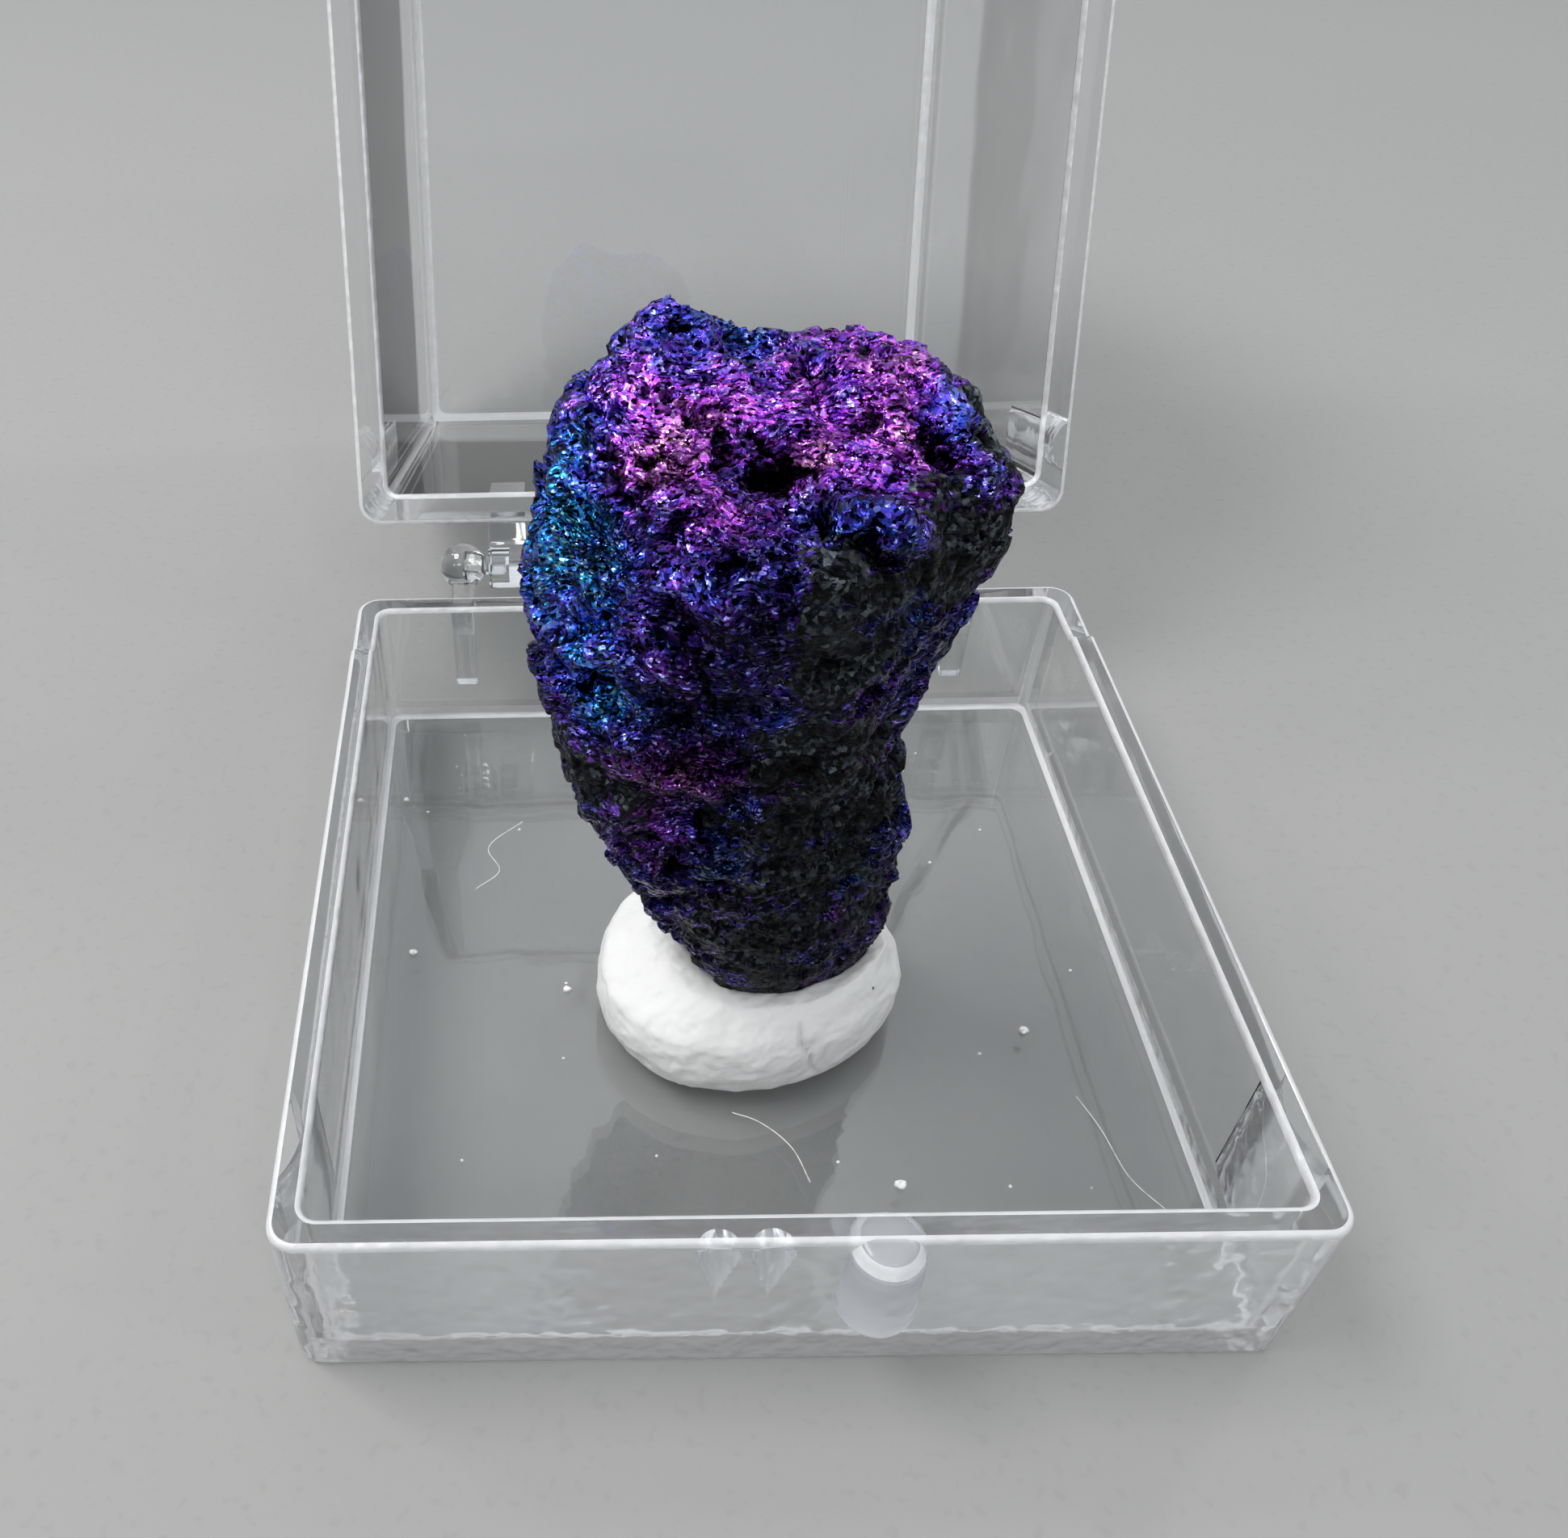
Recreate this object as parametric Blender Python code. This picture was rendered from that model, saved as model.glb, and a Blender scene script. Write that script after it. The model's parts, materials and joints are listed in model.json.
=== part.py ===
"""A peacock ore specimen in a clear hinged display box.

The tray stands on its flat underside with its front towards -Y. A lump of white putty sits on the
tray's floor and the ore stands in a dent in the putty. The lid is open: it has swung back about two
ball hinges behind the tray until the edge of its top rests on the table.

Origin: the centre of the tray's underside. Units: metres, +Z up.
"""

import math

import bmesh
import bpy
import numpy as np

MM = 0.001

# Box
BOX_WIDTH = 66.0 * MM
BOX_HEIGHT = 68.0 * MM
CORNER_RADIUS = 2.0 * MM
CORNER_STEPS = 5

# Tray
TRAY_HEIGHT = 15.5 * MM
TRAY_WALL = 2.1 * MM
TRAY_FLOOR = 2.0 * MM
TRAY_INNER_RADIUS = 1.0 * MM
TRAY_FOOT_BEVEL = 0.5 * MM
RIM_STEP_Y = 25.0 * MM
RIM_STEP_DROP = 0.5 * MM

# Lid, described as it is when closed
LID_GAP = 0.3 * MM
LID_WALL = 2.8 * MM
LID_TOP = 2.2 * MM
LID_DRAFT = 0.5 * MM
LID_EDGE_BEVEL = 1.0 * MM
LID_BEVEL_STEPS = 3
TABLE_CLEARANCE = 0.02 * MM

# Hinges
HINGE_X = 23.4 * MM
AXIS_Y = 37.0 * MM
AXIS_Z = 15.6 * MM
BALL_RADIUS = 2.2 * MM
PIN_RADIUS = 0.9 * MM
PIN_TIP_X = 19.3 * MM
BORE_RADIUS = 1.05 * MM
BORE_END_X = 19.0 * MM
RIB_WIDTH = 2.0 * MM
RIB_FOOT_Z = 5.2 * MM
RIB_DEPTH = 1.5 * MM
ARM_INNER_X = 17.4 * MM
ARM_OUTER_X = 20.9 * MM
ARM_RISE = 8.0 * MM

# Grips, the catch and the round post of the tray's front
SCOOP_CHORD = 7.4 * MM
SCOOP_DEPTH = 1.4 * MM
SCOOP_Y = -24.6 * MM
SCOOP_FOOT_Z = 4.0 * MM
RIM_LIP = 0.6 * MM
LID_SCOOP_CHORD = 4.8 * MM
LID_SCOOP_Y = 27.0 * MM
LID_SCOOP_TOP_Z = 27.0 * MM
FLUTE_XS = (-5.4 * MM, -2.1 * MM)
FLUTE_RADIUS = 1.3 * MM
FLUTE_TIP_Z = 9.4 * MM
POST_X = 4.8 * MM
POST_Y = -32.7 * MM
POST_FOOT_Z = 6.9 * MM
POST_TOP_Z = 15.45 * MM
POST_FOOT_RADIUS = 2.65 * MM
POST_TOP_RADIUS = 2.4 * MM

# Putty
PUTTY_CENTRE = (-0.2 * MM, -3.9 * MM)
PUTTY_RADII = (11.7 * MM, 10.4 * MM)
PUTTY_CREST_Z = 9.9 * MM
PUTTY_AROUND = 56
CONTACT_GAP = 0.3 * MM

# Ore, in millimetres. Each level of its form is (height, left, right, front, back).
ORE_LEVELS = (
    (6.6, -5.0, 7.0, -8.4, -1.8),
    (10.0, -6.5, 8.6, -9.6, -0.8),
    (17.0, -8.2, 8.8, -10.8, 0.6),
    (21.0, -10.5, 8.8, -11.6, 1.4),
    (26.0, -13.6, 8.2, -12.8, 2.4),
    (32.0, -15.2, 7.4, -14.0, 3.4),
    (38.0, -16.0, 8.4, -15.2, 4.3),
    (44.0, -16.2, 10.0, -16.2, 5.0),
    (50.0, -15.7, 11.5, -16.7, 5.0),
    (54.0, -14.6, 11.0, -16.4, 4.4),
    (58.0, -12.8, 8.6, -15.3, 3.4),
    (62.0, -10.0, 4.0, -13.0, 1.6),
)
# How square the form's corners are: left front, right front, left back, right back
ORE_CORNERS = (2.5, 1.6, 2.2, 1.9)
# The form's middle lies a little in front of the mean of front and back
ORE_MIDDLE_SHIFT_Y = -0.5
# How round the edges are: at the top, between the broken faces and at the foot
ORE_TOP_ROUND = 2.6
ORE_FACE_ROUND = 1.2
ORE_FOOT_ROUND = 1.5
# Its top: the height over a middle spot, the rise towards the back, the fall to the right, and the
# depth behind which it bends down again with the bend's size
ORE_TOP_SPOT = (-2.0, -8.0, 55.4)
ORE_TOP_RISE = 0.24
ORE_TOP_FALL = 0.08
ORE_TOP_BEND_Y = -3.0
ORE_TOP_BEND = 0.030
# Broken faces that cut the form: a point on each and the direction that it faces
ORE_FACES = (
    ((6.8, -12.5, 46.0), (0.66, -0.74, -0.10)),
    ((-11.5, -13.4, 42.0), (-0.62, -0.76, 0.18)),
    ((-13.8, -6.0, 55.4), (-0.72, -0.25, 0.64)),
    ((-11.2, -9.0, 20.5), (-0.72, -0.42, -0.55)),
    ((4.5, -12.9, 30.0), (0.35, -0.92, -0.16)),
    ((3.0, 3.2, 46.0), (0.30, 0.92, 0.24)),
    ((-9.0, 2.6, 36.0), (-0.55, 0.82, -0.14)),
)
# Bumps (positive) and hollows: where each is, how far it rises and how wide it is
ORE_FORMS = (
    ((-6.7, -3.0, 57.0), 3.5, 2.5),
    ((-9.8, -5.0, 56.0), 1.4, 2.4),
    ((-4.0, -0.8, 57.3), -2.7, 1.8),
    ((3.0, -4.0, 56.5), 0.9, 4.0),
    ((-3.0, -12.0, 55.0), -1.7, 3.6),
    ((9.8, -5.5, 54.4), 1.2, 2.2),
    ((7.2, -9.5, 56.0), -1.2, 2.4),
    ((0.8, -16.6, 53.6), 1.0, 3.0),
    ((0.4, -15.4, 47.5), -1.0, 3.2),
    ((9.0, -6.0, 39.5), 1.3, 1.9),
    ((8.4, -7.0, 32.0), -0.7, 2.4),
    ((9.0, -6.0, 24.5), 0.8, 2.6),
    ((-3.0, -14.6, 40.0), -0.9, 3.4),
    ((-8.0, -14.5, 46.0), 0.9, 3.2),
    ((2.2, -13.6, 36.0), 0.8, 2.8),
    ((-6.5, -12.0, 27.0), 0.8, 2.8),
    ((-15.5, -5.5, 38.5), 0.7, 2.0),
    ((2.0, 4.6, 40.0), 1.0, 4.0),
    ((-6.0, 2.5, 28.0), -1.0, 3.6),
    ((4.0, 1.0, 18.0), 0.8, 3.2),
)
# Relief over the whole stone. The warp bends the rest: its cell, its size and its three seeds.
WARP_CELL = 6.0
WARP_SIZE = 1.8
WARP_SEEDS = (21, 22, 23)
# Lumps with creases between them: cell, seed, height and how deep the creases cut
ORE_LUMPS = (
    (6.5, 11, 0.70, 2.2),
    (3.4, 12, 0.45, 1.5),
)
# Slanting ledges: direction across them (its length is ledges per millimetre), height, and the
# cell and seed of the patches that have them
LEDGE_ACROSS = (0.09, 0.04, 0.17)
LEDGE_HEIGHT = 1.3
LEDGE_CELL = 8.0
LEDGE_SEED = 31
LEDGE_COVER = 0.4
# Pits: cell, seed, the level over which the noise digs one, and depth
PIT_CELL = 3.0
PIT_SEED = 41
PIT_LEVEL = 0.42
PIT_DEPTH = 1.8
# The relief fades out where the stone sits in the putty
RELIEF_FADE_Z = 8.0
RELIEF_FADE_HEIGHT = 5.0
RELIEF_LEAST = 0.15
# The net of faces is spread from this middle, stretched as the stone is
ORE_CENTRE = (-1.5, -6.0, 34.0)
ORE_STRETCH = (14.0, 11.0, 27.0)
ORE_GRID = 22


def clear_scene():
    for old in list(bpy.data.objects):
        bpy.data.objects.remove(old, do_unlink=True)


def make_material(name, colour, roughness, metallic=0.0, transmission=0.0):
    material = bpy.data.materials.new(name)
    material.use_nodes = True
    shader = material.node_tree.nodes["Principled BSDF"]
    shader.inputs["Base Color"].default_value = (*colour, 1.0)
    shader.inputs["Roughness"].default_value = roughness
    shader.inputs["Metallic"].default_value = metallic
    shader.inputs["Transmission Weight"].default_value = transmission
    return material


def add_object(name, bm, material=None, smooth_angle=None):
    """Turn a bmesh into a named object."""
    bm.normal_update()
    bmesh.ops.recalc_face_normals(bm, faces=bm.faces)
    mesh = bpy.data.meshes.new(name)
    bm.to_mesh(mesh)
    bm.free()
    if smooth_angle is not None:
        mesh.shade_smooth()
        mesh.set_sharp_from_angle(angle=math.radians(smooth_angle))
    if material is not None:
        mesh.materials.append(material)
    obj = bpy.data.objects.new(name, mesh)
    bpy.context.scene.collection.objects.link(obj)
    return obj


def add_helper(name, bm):
    """A cutter or a shape to be joined on, which isn't a piece by itself."""
    helper = add_object(name, bm)
    helper.hide_render = True
    helper.display_type = "WIRE"
    return helper


def boolean(target, helper, operation):
    modifier = target.modifiers.new(helper.name, "BOOLEAN")
    modifier.operation = operation
    modifier.solver = "EXACT"
    modifier.object = helper


def rounded_square(half, radius):
    """Points of a square with round corners, anticlockwise, the same number for any size."""
    points = []
    for quarter in range(4):
        turn = quarter * math.pi / 2
        for step in range(CORNER_STEPS + 1):
            angle = turn + step / CORNER_STEPS * math.pi / 2
            corner_x = math.copysign(half - radius, math.cos(turn + math.pi / 4))
            corner_y = math.copysign(half - radius, math.sin(turn + math.pi / 4))
            points.append((corner_x + radius * math.cos(angle), corner_y + radius * math.sin(angle)))
    return points


def shell_from_rings(rings):
    """A closed body from a list of (outline, height), capped at both ends."""
    bm = bmesh.new()
    loops = [[bm.verts.new((x, y, z)) for x, y in outline] for outline, z in rings]
    for lower, upper in zip(loops, loops[1:]):
        for i, start in enumerate(lower):
            j = (i + 1) % len(lower)
            bm.faces.new((start, lower[j], upper[j], upper[i]))
    bm.faces.new(loops[0])
    bm.faces.new(loops[-1])
    return bm


def box_bmesh(low, high):
    bm = bmesh.new()
    bmesh.ops.create_cube(bm, size=1.0)
    for vertex in bm.verts:
        for axis in range(3):
            vertex.co[axis] = low[axis] if vertex.co[axis] < 0 else high[axis]
    return bm


def cone_bmesh(centre, low_z, high_z, low_radius, high_radius, segments):
    """An upright cone or cylinder between two heights."""
    bm = bmesh.new()
    bmesh.ops.create_cone(
        bm, cap_ends=True, segments=segments,
        radius1=low_radius, radius2=high_radius, depth=high_z - low_z,
    )
    bmesh.ops.translate(bm, verts=bm.verts, vec=(centre[0], centre[1], (low_z + high_z) / 2))
    return bm


def rod_bmesh(start_x, end_x, y, z, radius, segments=16):
    """A rod along X."""
    bm = bmesh.new()
    bmesh.ops.create_cone(
        bm, cap_ends=True, segments=segments,
        radius1=radius, radius2=radius, depth=abs(end_x - start_x),
    )
    for vertex in bm.verts:
        across, along, up = vertex.co
        vertex.co = ((start_x + end_x) / 2 + up, y + along, z + across)
    return bm


def plate_bmesh(profile, start_x, end_x):
    """A plate along X whose outline in the YZ plane is given."""
    bm = bmesh.new()
    near = [bm.verts.new((start_x, y, z)) for y, z in profile]
    far = [bm.verts.new((end_x, y, z)) for y, z in profile]
    for i, start in enumerate(near):
        j = (i + 1) % len(near)
        bm.faces.new((start, near[j], far[j], far[i]))
    bm.faces.new(near)
    bm.faces.new(far)
    return bm


def scoop_bmesh(side, y, low_z, high_z, chord, depth):
    """A cutter for a finger scoop: an upright cylinder that dips into the side wall's outer face."""
    radius = ((chord / 2) ** 2 + depth ** 2) / (2 * depth)
    centre_x = side * (BOX_WIDTH / 2 + radius - depth)
    return cone_bmesh((centre_x, y), low_z, high_z, radius, radius, 40)


def build_tray(plastic):
    half = BOX_WIDTH / 2
    inner = half - TRAY_WALL
    foot = rounded_square(half - TRAY_FOOT_BEVEL, CORNER_RADIUS - TRAY_FOOT_BEVEL)
    outer = rounded_square(half, CORNER_RADIUS)
    pocket = rounded_square(inner, TRAY_INNER_RADIUS)
    bm = shell_from_rings((
        (foot, 0.0),
        (outer, TRAY_FOOT_BEVEL),
        (outer, TRAY_HEIGHT),
        (pocket, TRAY_HEIGHT),
        (pocket, TRAY_FLOOR),
    ))
    tray = add_object("tray", bm, plastic, 30)

    over = TRAY_HEIGHT + 1.0 * MM
    step = box_bmesh((-half - MM, RIM_STEP_Y, TRAY_HEIGHT - RIM_STEP_DROP), (half + MM, half + MM, over))
    boolean(tray, add_helper("rim_step", step), "DIFFERENCE")
    lip_z = TRAY_HEIGHT - RIM_LIP
    for side, label in ((-1, "left"), (1, "right")):
        scoop = scoop_bmesh(side, SCOOP_Y, SCOOP_FOOT_Z, lip_z, SCOOP_CHORD, SCOOP_DEPTH)
        boolean(tray, add_helper(f"tray_scoop_{label}", scoop), "DIFFERENCE")
    for number, x in enumerate(FLUTE_XS, start=1):
        flute = cone_bmesh((x, -half), FLUTE_TIP_Z, lip_z, 0.0, FLUTE_RADIUS, 12)
        boolean(tray, add_helper(f"flute_{number}", flute), "DIFFERENCE")
    post = cone_bmesh(
        (POST_X, POST_Y), POST_FOOT_Z, POST_TOP_Z, POST_FOOT_RADIUS, POST_TOP_RADIUS, 24,
    )
    boolean(tray, add_helper("post", post), "UNION")

    for side, label in ((-1, "left"), (1, "right")):
        rib = plate_bmesh(
            (
                (half - 0.5 * MM, RIB_FOOT_Z),
                (half + RIB_DEPTH, RIB_FOOT_Z),
                (half + RIB_DEPTH, AXIS_Z - 5.0 * MM),
                (AXIS_Y + 0.6 * MM, AXIS_Z - 2.0 * MM),
                (AXIS_Y - 0.3 * MM, AXIS_Z - 0.7 * MM),
                (half - 0.5 * MM, AXIS_Z - 0.7 * MM),
            ),
            side * (HINGE_X - RIB_WIDTH / 2), side * (HINGE_X + RIB_WIDTH / 2),
        )
        boolean(tray, add_helper(f"rib_{label}", rib), "UNION")
        ball = bmesh.new()
        bmesh.ops.create_uvsphere(ball, u_segments=16, v_segments=10, radius=BALL_RADIUS)
        bmesh.ops.translate(ball, verts=ball.verts, vec=(side * HINGE_X, AXIS_Y, AXIS_Z))
        boolean(tray, add_helper(f"ball_{label}", ball), "UNION")
        pin = rod_bmesh(side * PIN_TIP_X, side * HINGE_X, AXIS_Y, AXIS_Z, PIN_RADIUS)
        boolean(tray, add_helper(f"pin_{label}", pin), "UNION")
    return tray


def lid_open_angle():
    """The turn from closed at which the round back edge of the lid's top reaches the table."""
    edge_y = BOX_WIDTH / 2 - LID_DRAFT - LID_EDGE_BEVEL - AXIS_Y
    edge_z = BOX_HEIGHT - LID_EDGE_BEVEL - AXIS_Z
    reach = math.hypot(edge_y, edge_z)
    drop = (AXIS_Z - LID_EDGE_BEVEL - TABLE_CLEARANCE) / reach
    return math.acos(-drop) + math.atan2(-edge_y, edge_z)


def build_lid(plastic):
    """The lid is modelled closed, about its hinge axis, and then swung open."""
    half = BOX_WIDTH / 2
    rim_z = TRAY_HEIGHT + LID_GAP
    top_half = half - LID_DRAFT
    rings = [
        (rounded_square(top_half - LID_WALL, TRAY_INNER_RADIUS), BOX_HEIGHT - LID_TOP),
        (rounded_square(half - LID_WALL, TRAY_INNER_RADIUS), rim_z),
        (rounded_square(half, CORNER_RADIUS), rim_z),
    ]
    for step in range(LID_BEVEL_STEPS + 1):
        angle = step / LID_BEVEL_STEPS * math.pi / 2
        inset = LID_EDGE_BEVEL * (1 - math.cos(angle))
        height = BOX_HEIGHT - LID_EDGE_BEVEL * (1 - math.sin(angle))
        rings.append((rounded_square(top_half - inset, CORNER_RADIUS - inset), height))
    lid = add_object("lid", shell_from_rings(rings), plastic, 30)

    for side, label in ((-1, "left"), (1, "right")):
        scoop = scoop_bmesh(
            side, LID_SCOOP_Y, rim_z + RIM_LIP, LID_SCOOP_TOP_Z, LID_SCOOP_CHORD, SCOOP_DEPTH,
        )
        boolean(lid, add_helper(f"lid_scoop_{label}", scoop), "DIFFERENCE")
        round_end = [
            (AXIS_Y + BALL_RADIUS * math.cos(turn), AXIS_Z + BALL_RADIUS * math.sin(turn))
            for turn in (math.radians(degrees) for degrees in range(195, 406, 15))
        ]
        arm = plate_bmesh(
            [(half - 0.6 * MM, AXIS_Z + ARM_RISE), (half - 0.6 * MM, rim_z + 0.1 * MM)] + round_end,
            side * ARM_INNER_X, side * ARM_OUTER_X,
        )
        boolean(lid, add_helper(f"arm_{label}", arm), "UNION")
        bore = rod_bmesh(side * BORE_END_X, side * (ARM_OUTER_X + MM), AXIS_Y, AXIS_Z, BORE_RADIUS)
        boolean(lid, add_helper(f"bore_{label}", bore), "DIFFERENCE")

    hinge = bpy.data.objects.new("lid_hinge", None)
    bpy.context.scene.collection.objects.link(hinge)
    hinge.location = (0.0, AXIS_Y, AXIS_Z)
    for helper in [modifier.object for modifier in lid.modifiers]:
        helper.parent = hinge
        helper.location = (0.0, -AXIS_Y, -AXIS_Z)
    lid.parent = hinge
    lid.location = (0.0, -AXIS_Y, -AXIS_Z)
    hinge.rotation_euler = (-lid_open_angle(), 0.0, 0.0)
    return lid


def smooth_noise(points, cell, seed):
    """Smooth value noise between -1 and 1 on a lattice of the given cell size."""
    table = np.random.default_rng(seed).uniform(-1.0, 1.0, 4096)
    scaled = points / cell + 64.0
    base = np.floor(scaled).astype(np.int64)
    part = scaled - base
    ease = part * part * (3.0 - 2.0 * part)
    total = np.zeros(len(points))
    for corner in range(8):
        offset = np.array([corner & 1, corner >> 1 & 1, corner >> 2 & 1])
        key = (base + offset) @ np.array([127, 311, 1009])
        weight = np.prod(np.where(offset == 1, ease, 1.0 - ease), axis=1)
        total += weight * table[(key ^ key >> 5) % 4096]
    return total


def smooth_max(a, b, blend):
    """The larger of two fields, with a round join of about the blend's size."""
    spread = np.maximum(blend - np.abs(a - b), 0.0) / blend
    return np.maximum(a, b) + spread * spread * blend / 4


def ore_field(points):
    """Below zero inside the ore and above zero outside, in millimetres.

    The sides come from the levels' four extents, joined round the axis by a superellipse whose
    exponent changes from corner to corner. The top is a slope with bumps and hollows.
    """
    x, y, z = points.T
    levels = np.array(ORE_LEVELS)
    left, right, front, back = (np.interp(z, levels[:, 0], levels[:, k]) for k in range(1, 5))
    middle_x = (left + right) / 2
    middle_y = (front + back) / 2 + ORE_MIDDLE_SHIFT_Y
    away_x = x - middle_x
    away_y = y - middle_y
    across = np.abs(away_x) / np.where(away_x < 0, middle_x - left, right - middle_x)
    along = np.abs(away_y) / np.where(away_y < 0, middle_y - front, back - middle_y)
    side_share = 1 / (1 + np.exp(-away_x))
    depth_share = 1 / (1 + np.exp(-away_y))
    left_front, right_front, left_back, right_back = ORE_CORNERS
    corner = (
        (1 - depth_share) * ((1 - side_share) * left_front + side_share * right_front)
        + depth_share * ((1 - side_share) * left_back + side_share * right_back)
    )
    form = (across ** corner + along ** corner + 1e-9) ** (1 / corner)
    reach = np.hypot(away_x, away_y)
    sides = reach - reach / np.maximum(form, 1e-6)

    spot_x, spot_y, top = ORE_TOP_SPOT
    top = top + ORE_TOP_RISE * (y - spot_y) - ORE_TOP_FALL * (x - spot_x)
    top = top - ORE_TOP_BEND * np.maximum(y - ORE_TOP_BEND_Y, 0.0) ** 2
    body = smooth_max(sides, z - top, ORE_TOP_ROUND)
    for spot, facing in ORE_FACES:
        facing = np.array(facing) / np.linalg.norm(facing)
        body = smooth_max(body, (points - np.array(spot)) @ facing, ORE_FACE_ROUND)
    return smooth_max(body, ORE_LEVELS[0][0] - z, ORE_FOOT_ROUND)


def ore_relief(points):
    """Its named forms, lumps with creases between them, slanting ledges and pits, as a rise."""
    rise = np.zeros(len(points))
    for spot, height, spread in ORE_FORMS:
        away = np.sum((points - np.array(spot)) ** 2, axis=1)
        rise += height * np.exp(-away / spread ** 2)
    warp = np.stack([smooth_noise(points, WARP_CELL, seed) for seed in WARP_SEEDS], axis=1)
    bent = points + warp * WARP_SIZE
    for cell, seed, height, crease in ORE_LUMPS:
        rise += height - np.abs(smooth_noise(bent, cell, seed)) * crease
    climb = (bent @ np.array(LEDGE_ACROSS)) % 1.0 - 0.5
    cover = np.clip(smooth_noise(points, LEDGE_CELL, LEDGE_SEED) + LEDGE_COVER, 0.0, 1.0)
    rise += LEDGE_HEIGHT * climb * cover
    rise -= PIT_DEPTH * np.clip(smooth_noise(points, PIT_CELL, PIT_SEED) - PIT_LEVEL, 0.0, 1.0)
    return rise


def ore_surface(directions):
    """Points of the ore's surface along unit directions from its centre, found by bisection."""
    centre = np.array(ORE_CENTRE)
    low = np.zeros(len(directions))
    high = np.full(len(directions), 45.0)
    for _ in range(30):
        middle = (low + high) / 2
        outside = ore_field(centre + directions * middle[:, None]) > 0
        high = np.where(outside, middle, high)
        low = np.where(outside, low, middle)
    points = centre + directions * low[:, None]
    fade = np.clip((points[:, 2] - RELIEF_FADE_Z) / RELIEF_FADE_HEIGHT, RELIEF_LEAST, 1.0)
    return points + directions * (ore_relief(points) * fade)[:, None]


def cube_sphere(count):
    """Unit directions and the quads between them, as one closed net.

    They are a cube's grid swollen to a ball and stretched as the ore is, so that its cells come out
    alike in size on the ore.
    """
    ticks = np.tan(np.linspace(-math.pi / 4, math.pi / 4, count + 1))
    index = {}
    directions = []
    quads = []
    for axis in range(3):
        for sign in (-1, 1):
            grid = []
            for row in range(count + 1):
                for column in range(count + 1):
                    spot = [0, 0, 0]
                    spot[axis] = count * (sign > 0)
                    spot[(axis + 1) % 3] = row
                    spot[(axis + 2) % 3] = column
                    key = tuple(spot)
                    if key not in index:
                        index[key] = len(directions)
                        directions.append([ticks[k] for k in key])
                    grid.append(index[key])
            for row in range(count):
                for column in range(count):
                    a = row * (count + 1) + column
                    ring = (grid[a], grid[a + count + 1], grid[a + count + 2], grid[a + 1])
                    quads.append(ring if sign > 0 else ring[::-1])
    directions = np.array(directions)
    directions /= np.linalg.norm(directions, axis=1)[:, None]
    directions *= np.array(ORE_STRETCH)
    return directions / np.linalg.norm(directions, axis=1)[:, None], quads


def build_ore(stone):
    directions, quads = cube_sphere(ORE_GRID)
    points = ore_surface(directions) * MM
    bm = bmesh.new()
    verts = [bm.verts.new(point) for point in points]
    for quad in quads:
        bm.faces.new([verts[i] for i in quad])
    return add_object("peacock_ore", bm, stone, 40)


def ore_reach(angles, height):
    """How far the ore reaches from the putty's middle at a height, in each direction round it."""
    middle = np.array([PUTTY_CENTRE[0] / MM + 0.8, PUTTY_CENTRE[1] / MM - 0.8])
    spokes = np.stack([np.cos(angles), np.sin(angles)], axis=1)
    low = np.zeros(len(angles))
    high = np.full(len(angles), 20.0)
    for _ in range(24):
        radius = (low + high) / 2
        flat = middle + spokes * radius[:, None]
        outside = ore_field(np.column_stack([flat, np.full(len(angles), height)])) > 0
        high = np.where(outside, radius, high)
        low = np.where(outside, low, radius)
    return middle, spokes, low


def build_putty(white):
    """Rings from the middle of the underside, out over the bulge and down into the dent."""
    angles = np.linspace(0.0, 2 * math.pi, PUTTY_AROUND, endpoint=False)
    centre = np.array(PUTTY_CENTRE) / MM
    wobble = 1 + 0.03 * np.sin(2 * angles + 0.6) + 0.02 * np.sin(3 * angles + 2.0)
    outline = np.stack([np.cos(angles) * PUTTY_RADII[0], np.sin(angles) * PUTTY_RADII[1]], axis=1) / MM
    outline = centre + outline * wobble[:, None]
    floor_z = (TRAY_FLOOR + CONTACT_GAP) / MM
    crest_z = PUTTY_CREST_Z / MM
    middle, spokes, foot = ore_reach(angles, ORE_LEVELS[0][0] + 2.5)
    _, _, collar = ore_reach(angles, crest_z - 0.6)
    edge = middle + spokes * (collar + 0.9)[:, None]
    rings = []
    for lean, z in ((0.90, floor_z), (0.96, floor_z + 0.8), (0.995, floor_z + 2.0), (1.0, floor_z + 3.2),
                    (0.98, floor_z + 4.6), (0.93, floor_z + 5.8)):
        rings.append((centre + (outline - centre) * lean, z))
    for share, z in ((0.45, crest_z - 0.25), (0.15, crest_z)):
        rings.append((edge + (centre + (outline - centre) * 0.93 - edge) * share, z))
    gap = CONTACT_GAP / MM
    rings.append((middle + spokes * (collar + gap + 0.35)[:, None], crest_z - 0.35))
    rings.append((middle + spokes * (foot + gap + 0.25)[:, None], ORE_LEVELS[0][0] + 1.2))
    rings.append((middle + spokes * (foot * 0.7)[:, None], ORE_LEVELS[0][0] - gap - 0.35))
    bm = shell_from_rings([([(x * MM, y * MM) for x, y in ring], z * MM) for ring, z in rings])
    return add_object("putty", bm, white, 50)


def main():
    clear_scene()
    plastic = make_material("clear_polystyrene", (0.93, 0.95, 0.96), 0.05, transmission=1.0)
    stone = make_material("tarnished_ore", (0.16, 0.05, 0.28), 0.35, metallic=0.85)
    white = make_material("white_putty", (0.86, 0.86, 0.87), 0.7)
    build_tray(plastic)
    build_lid(plastic)
    build_ore(stone)
    build_putty(white)


main()
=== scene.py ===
import json
import math

import bpy
import bmesh
import numpy as np
from mathutils import Matrix, Vector


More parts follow.
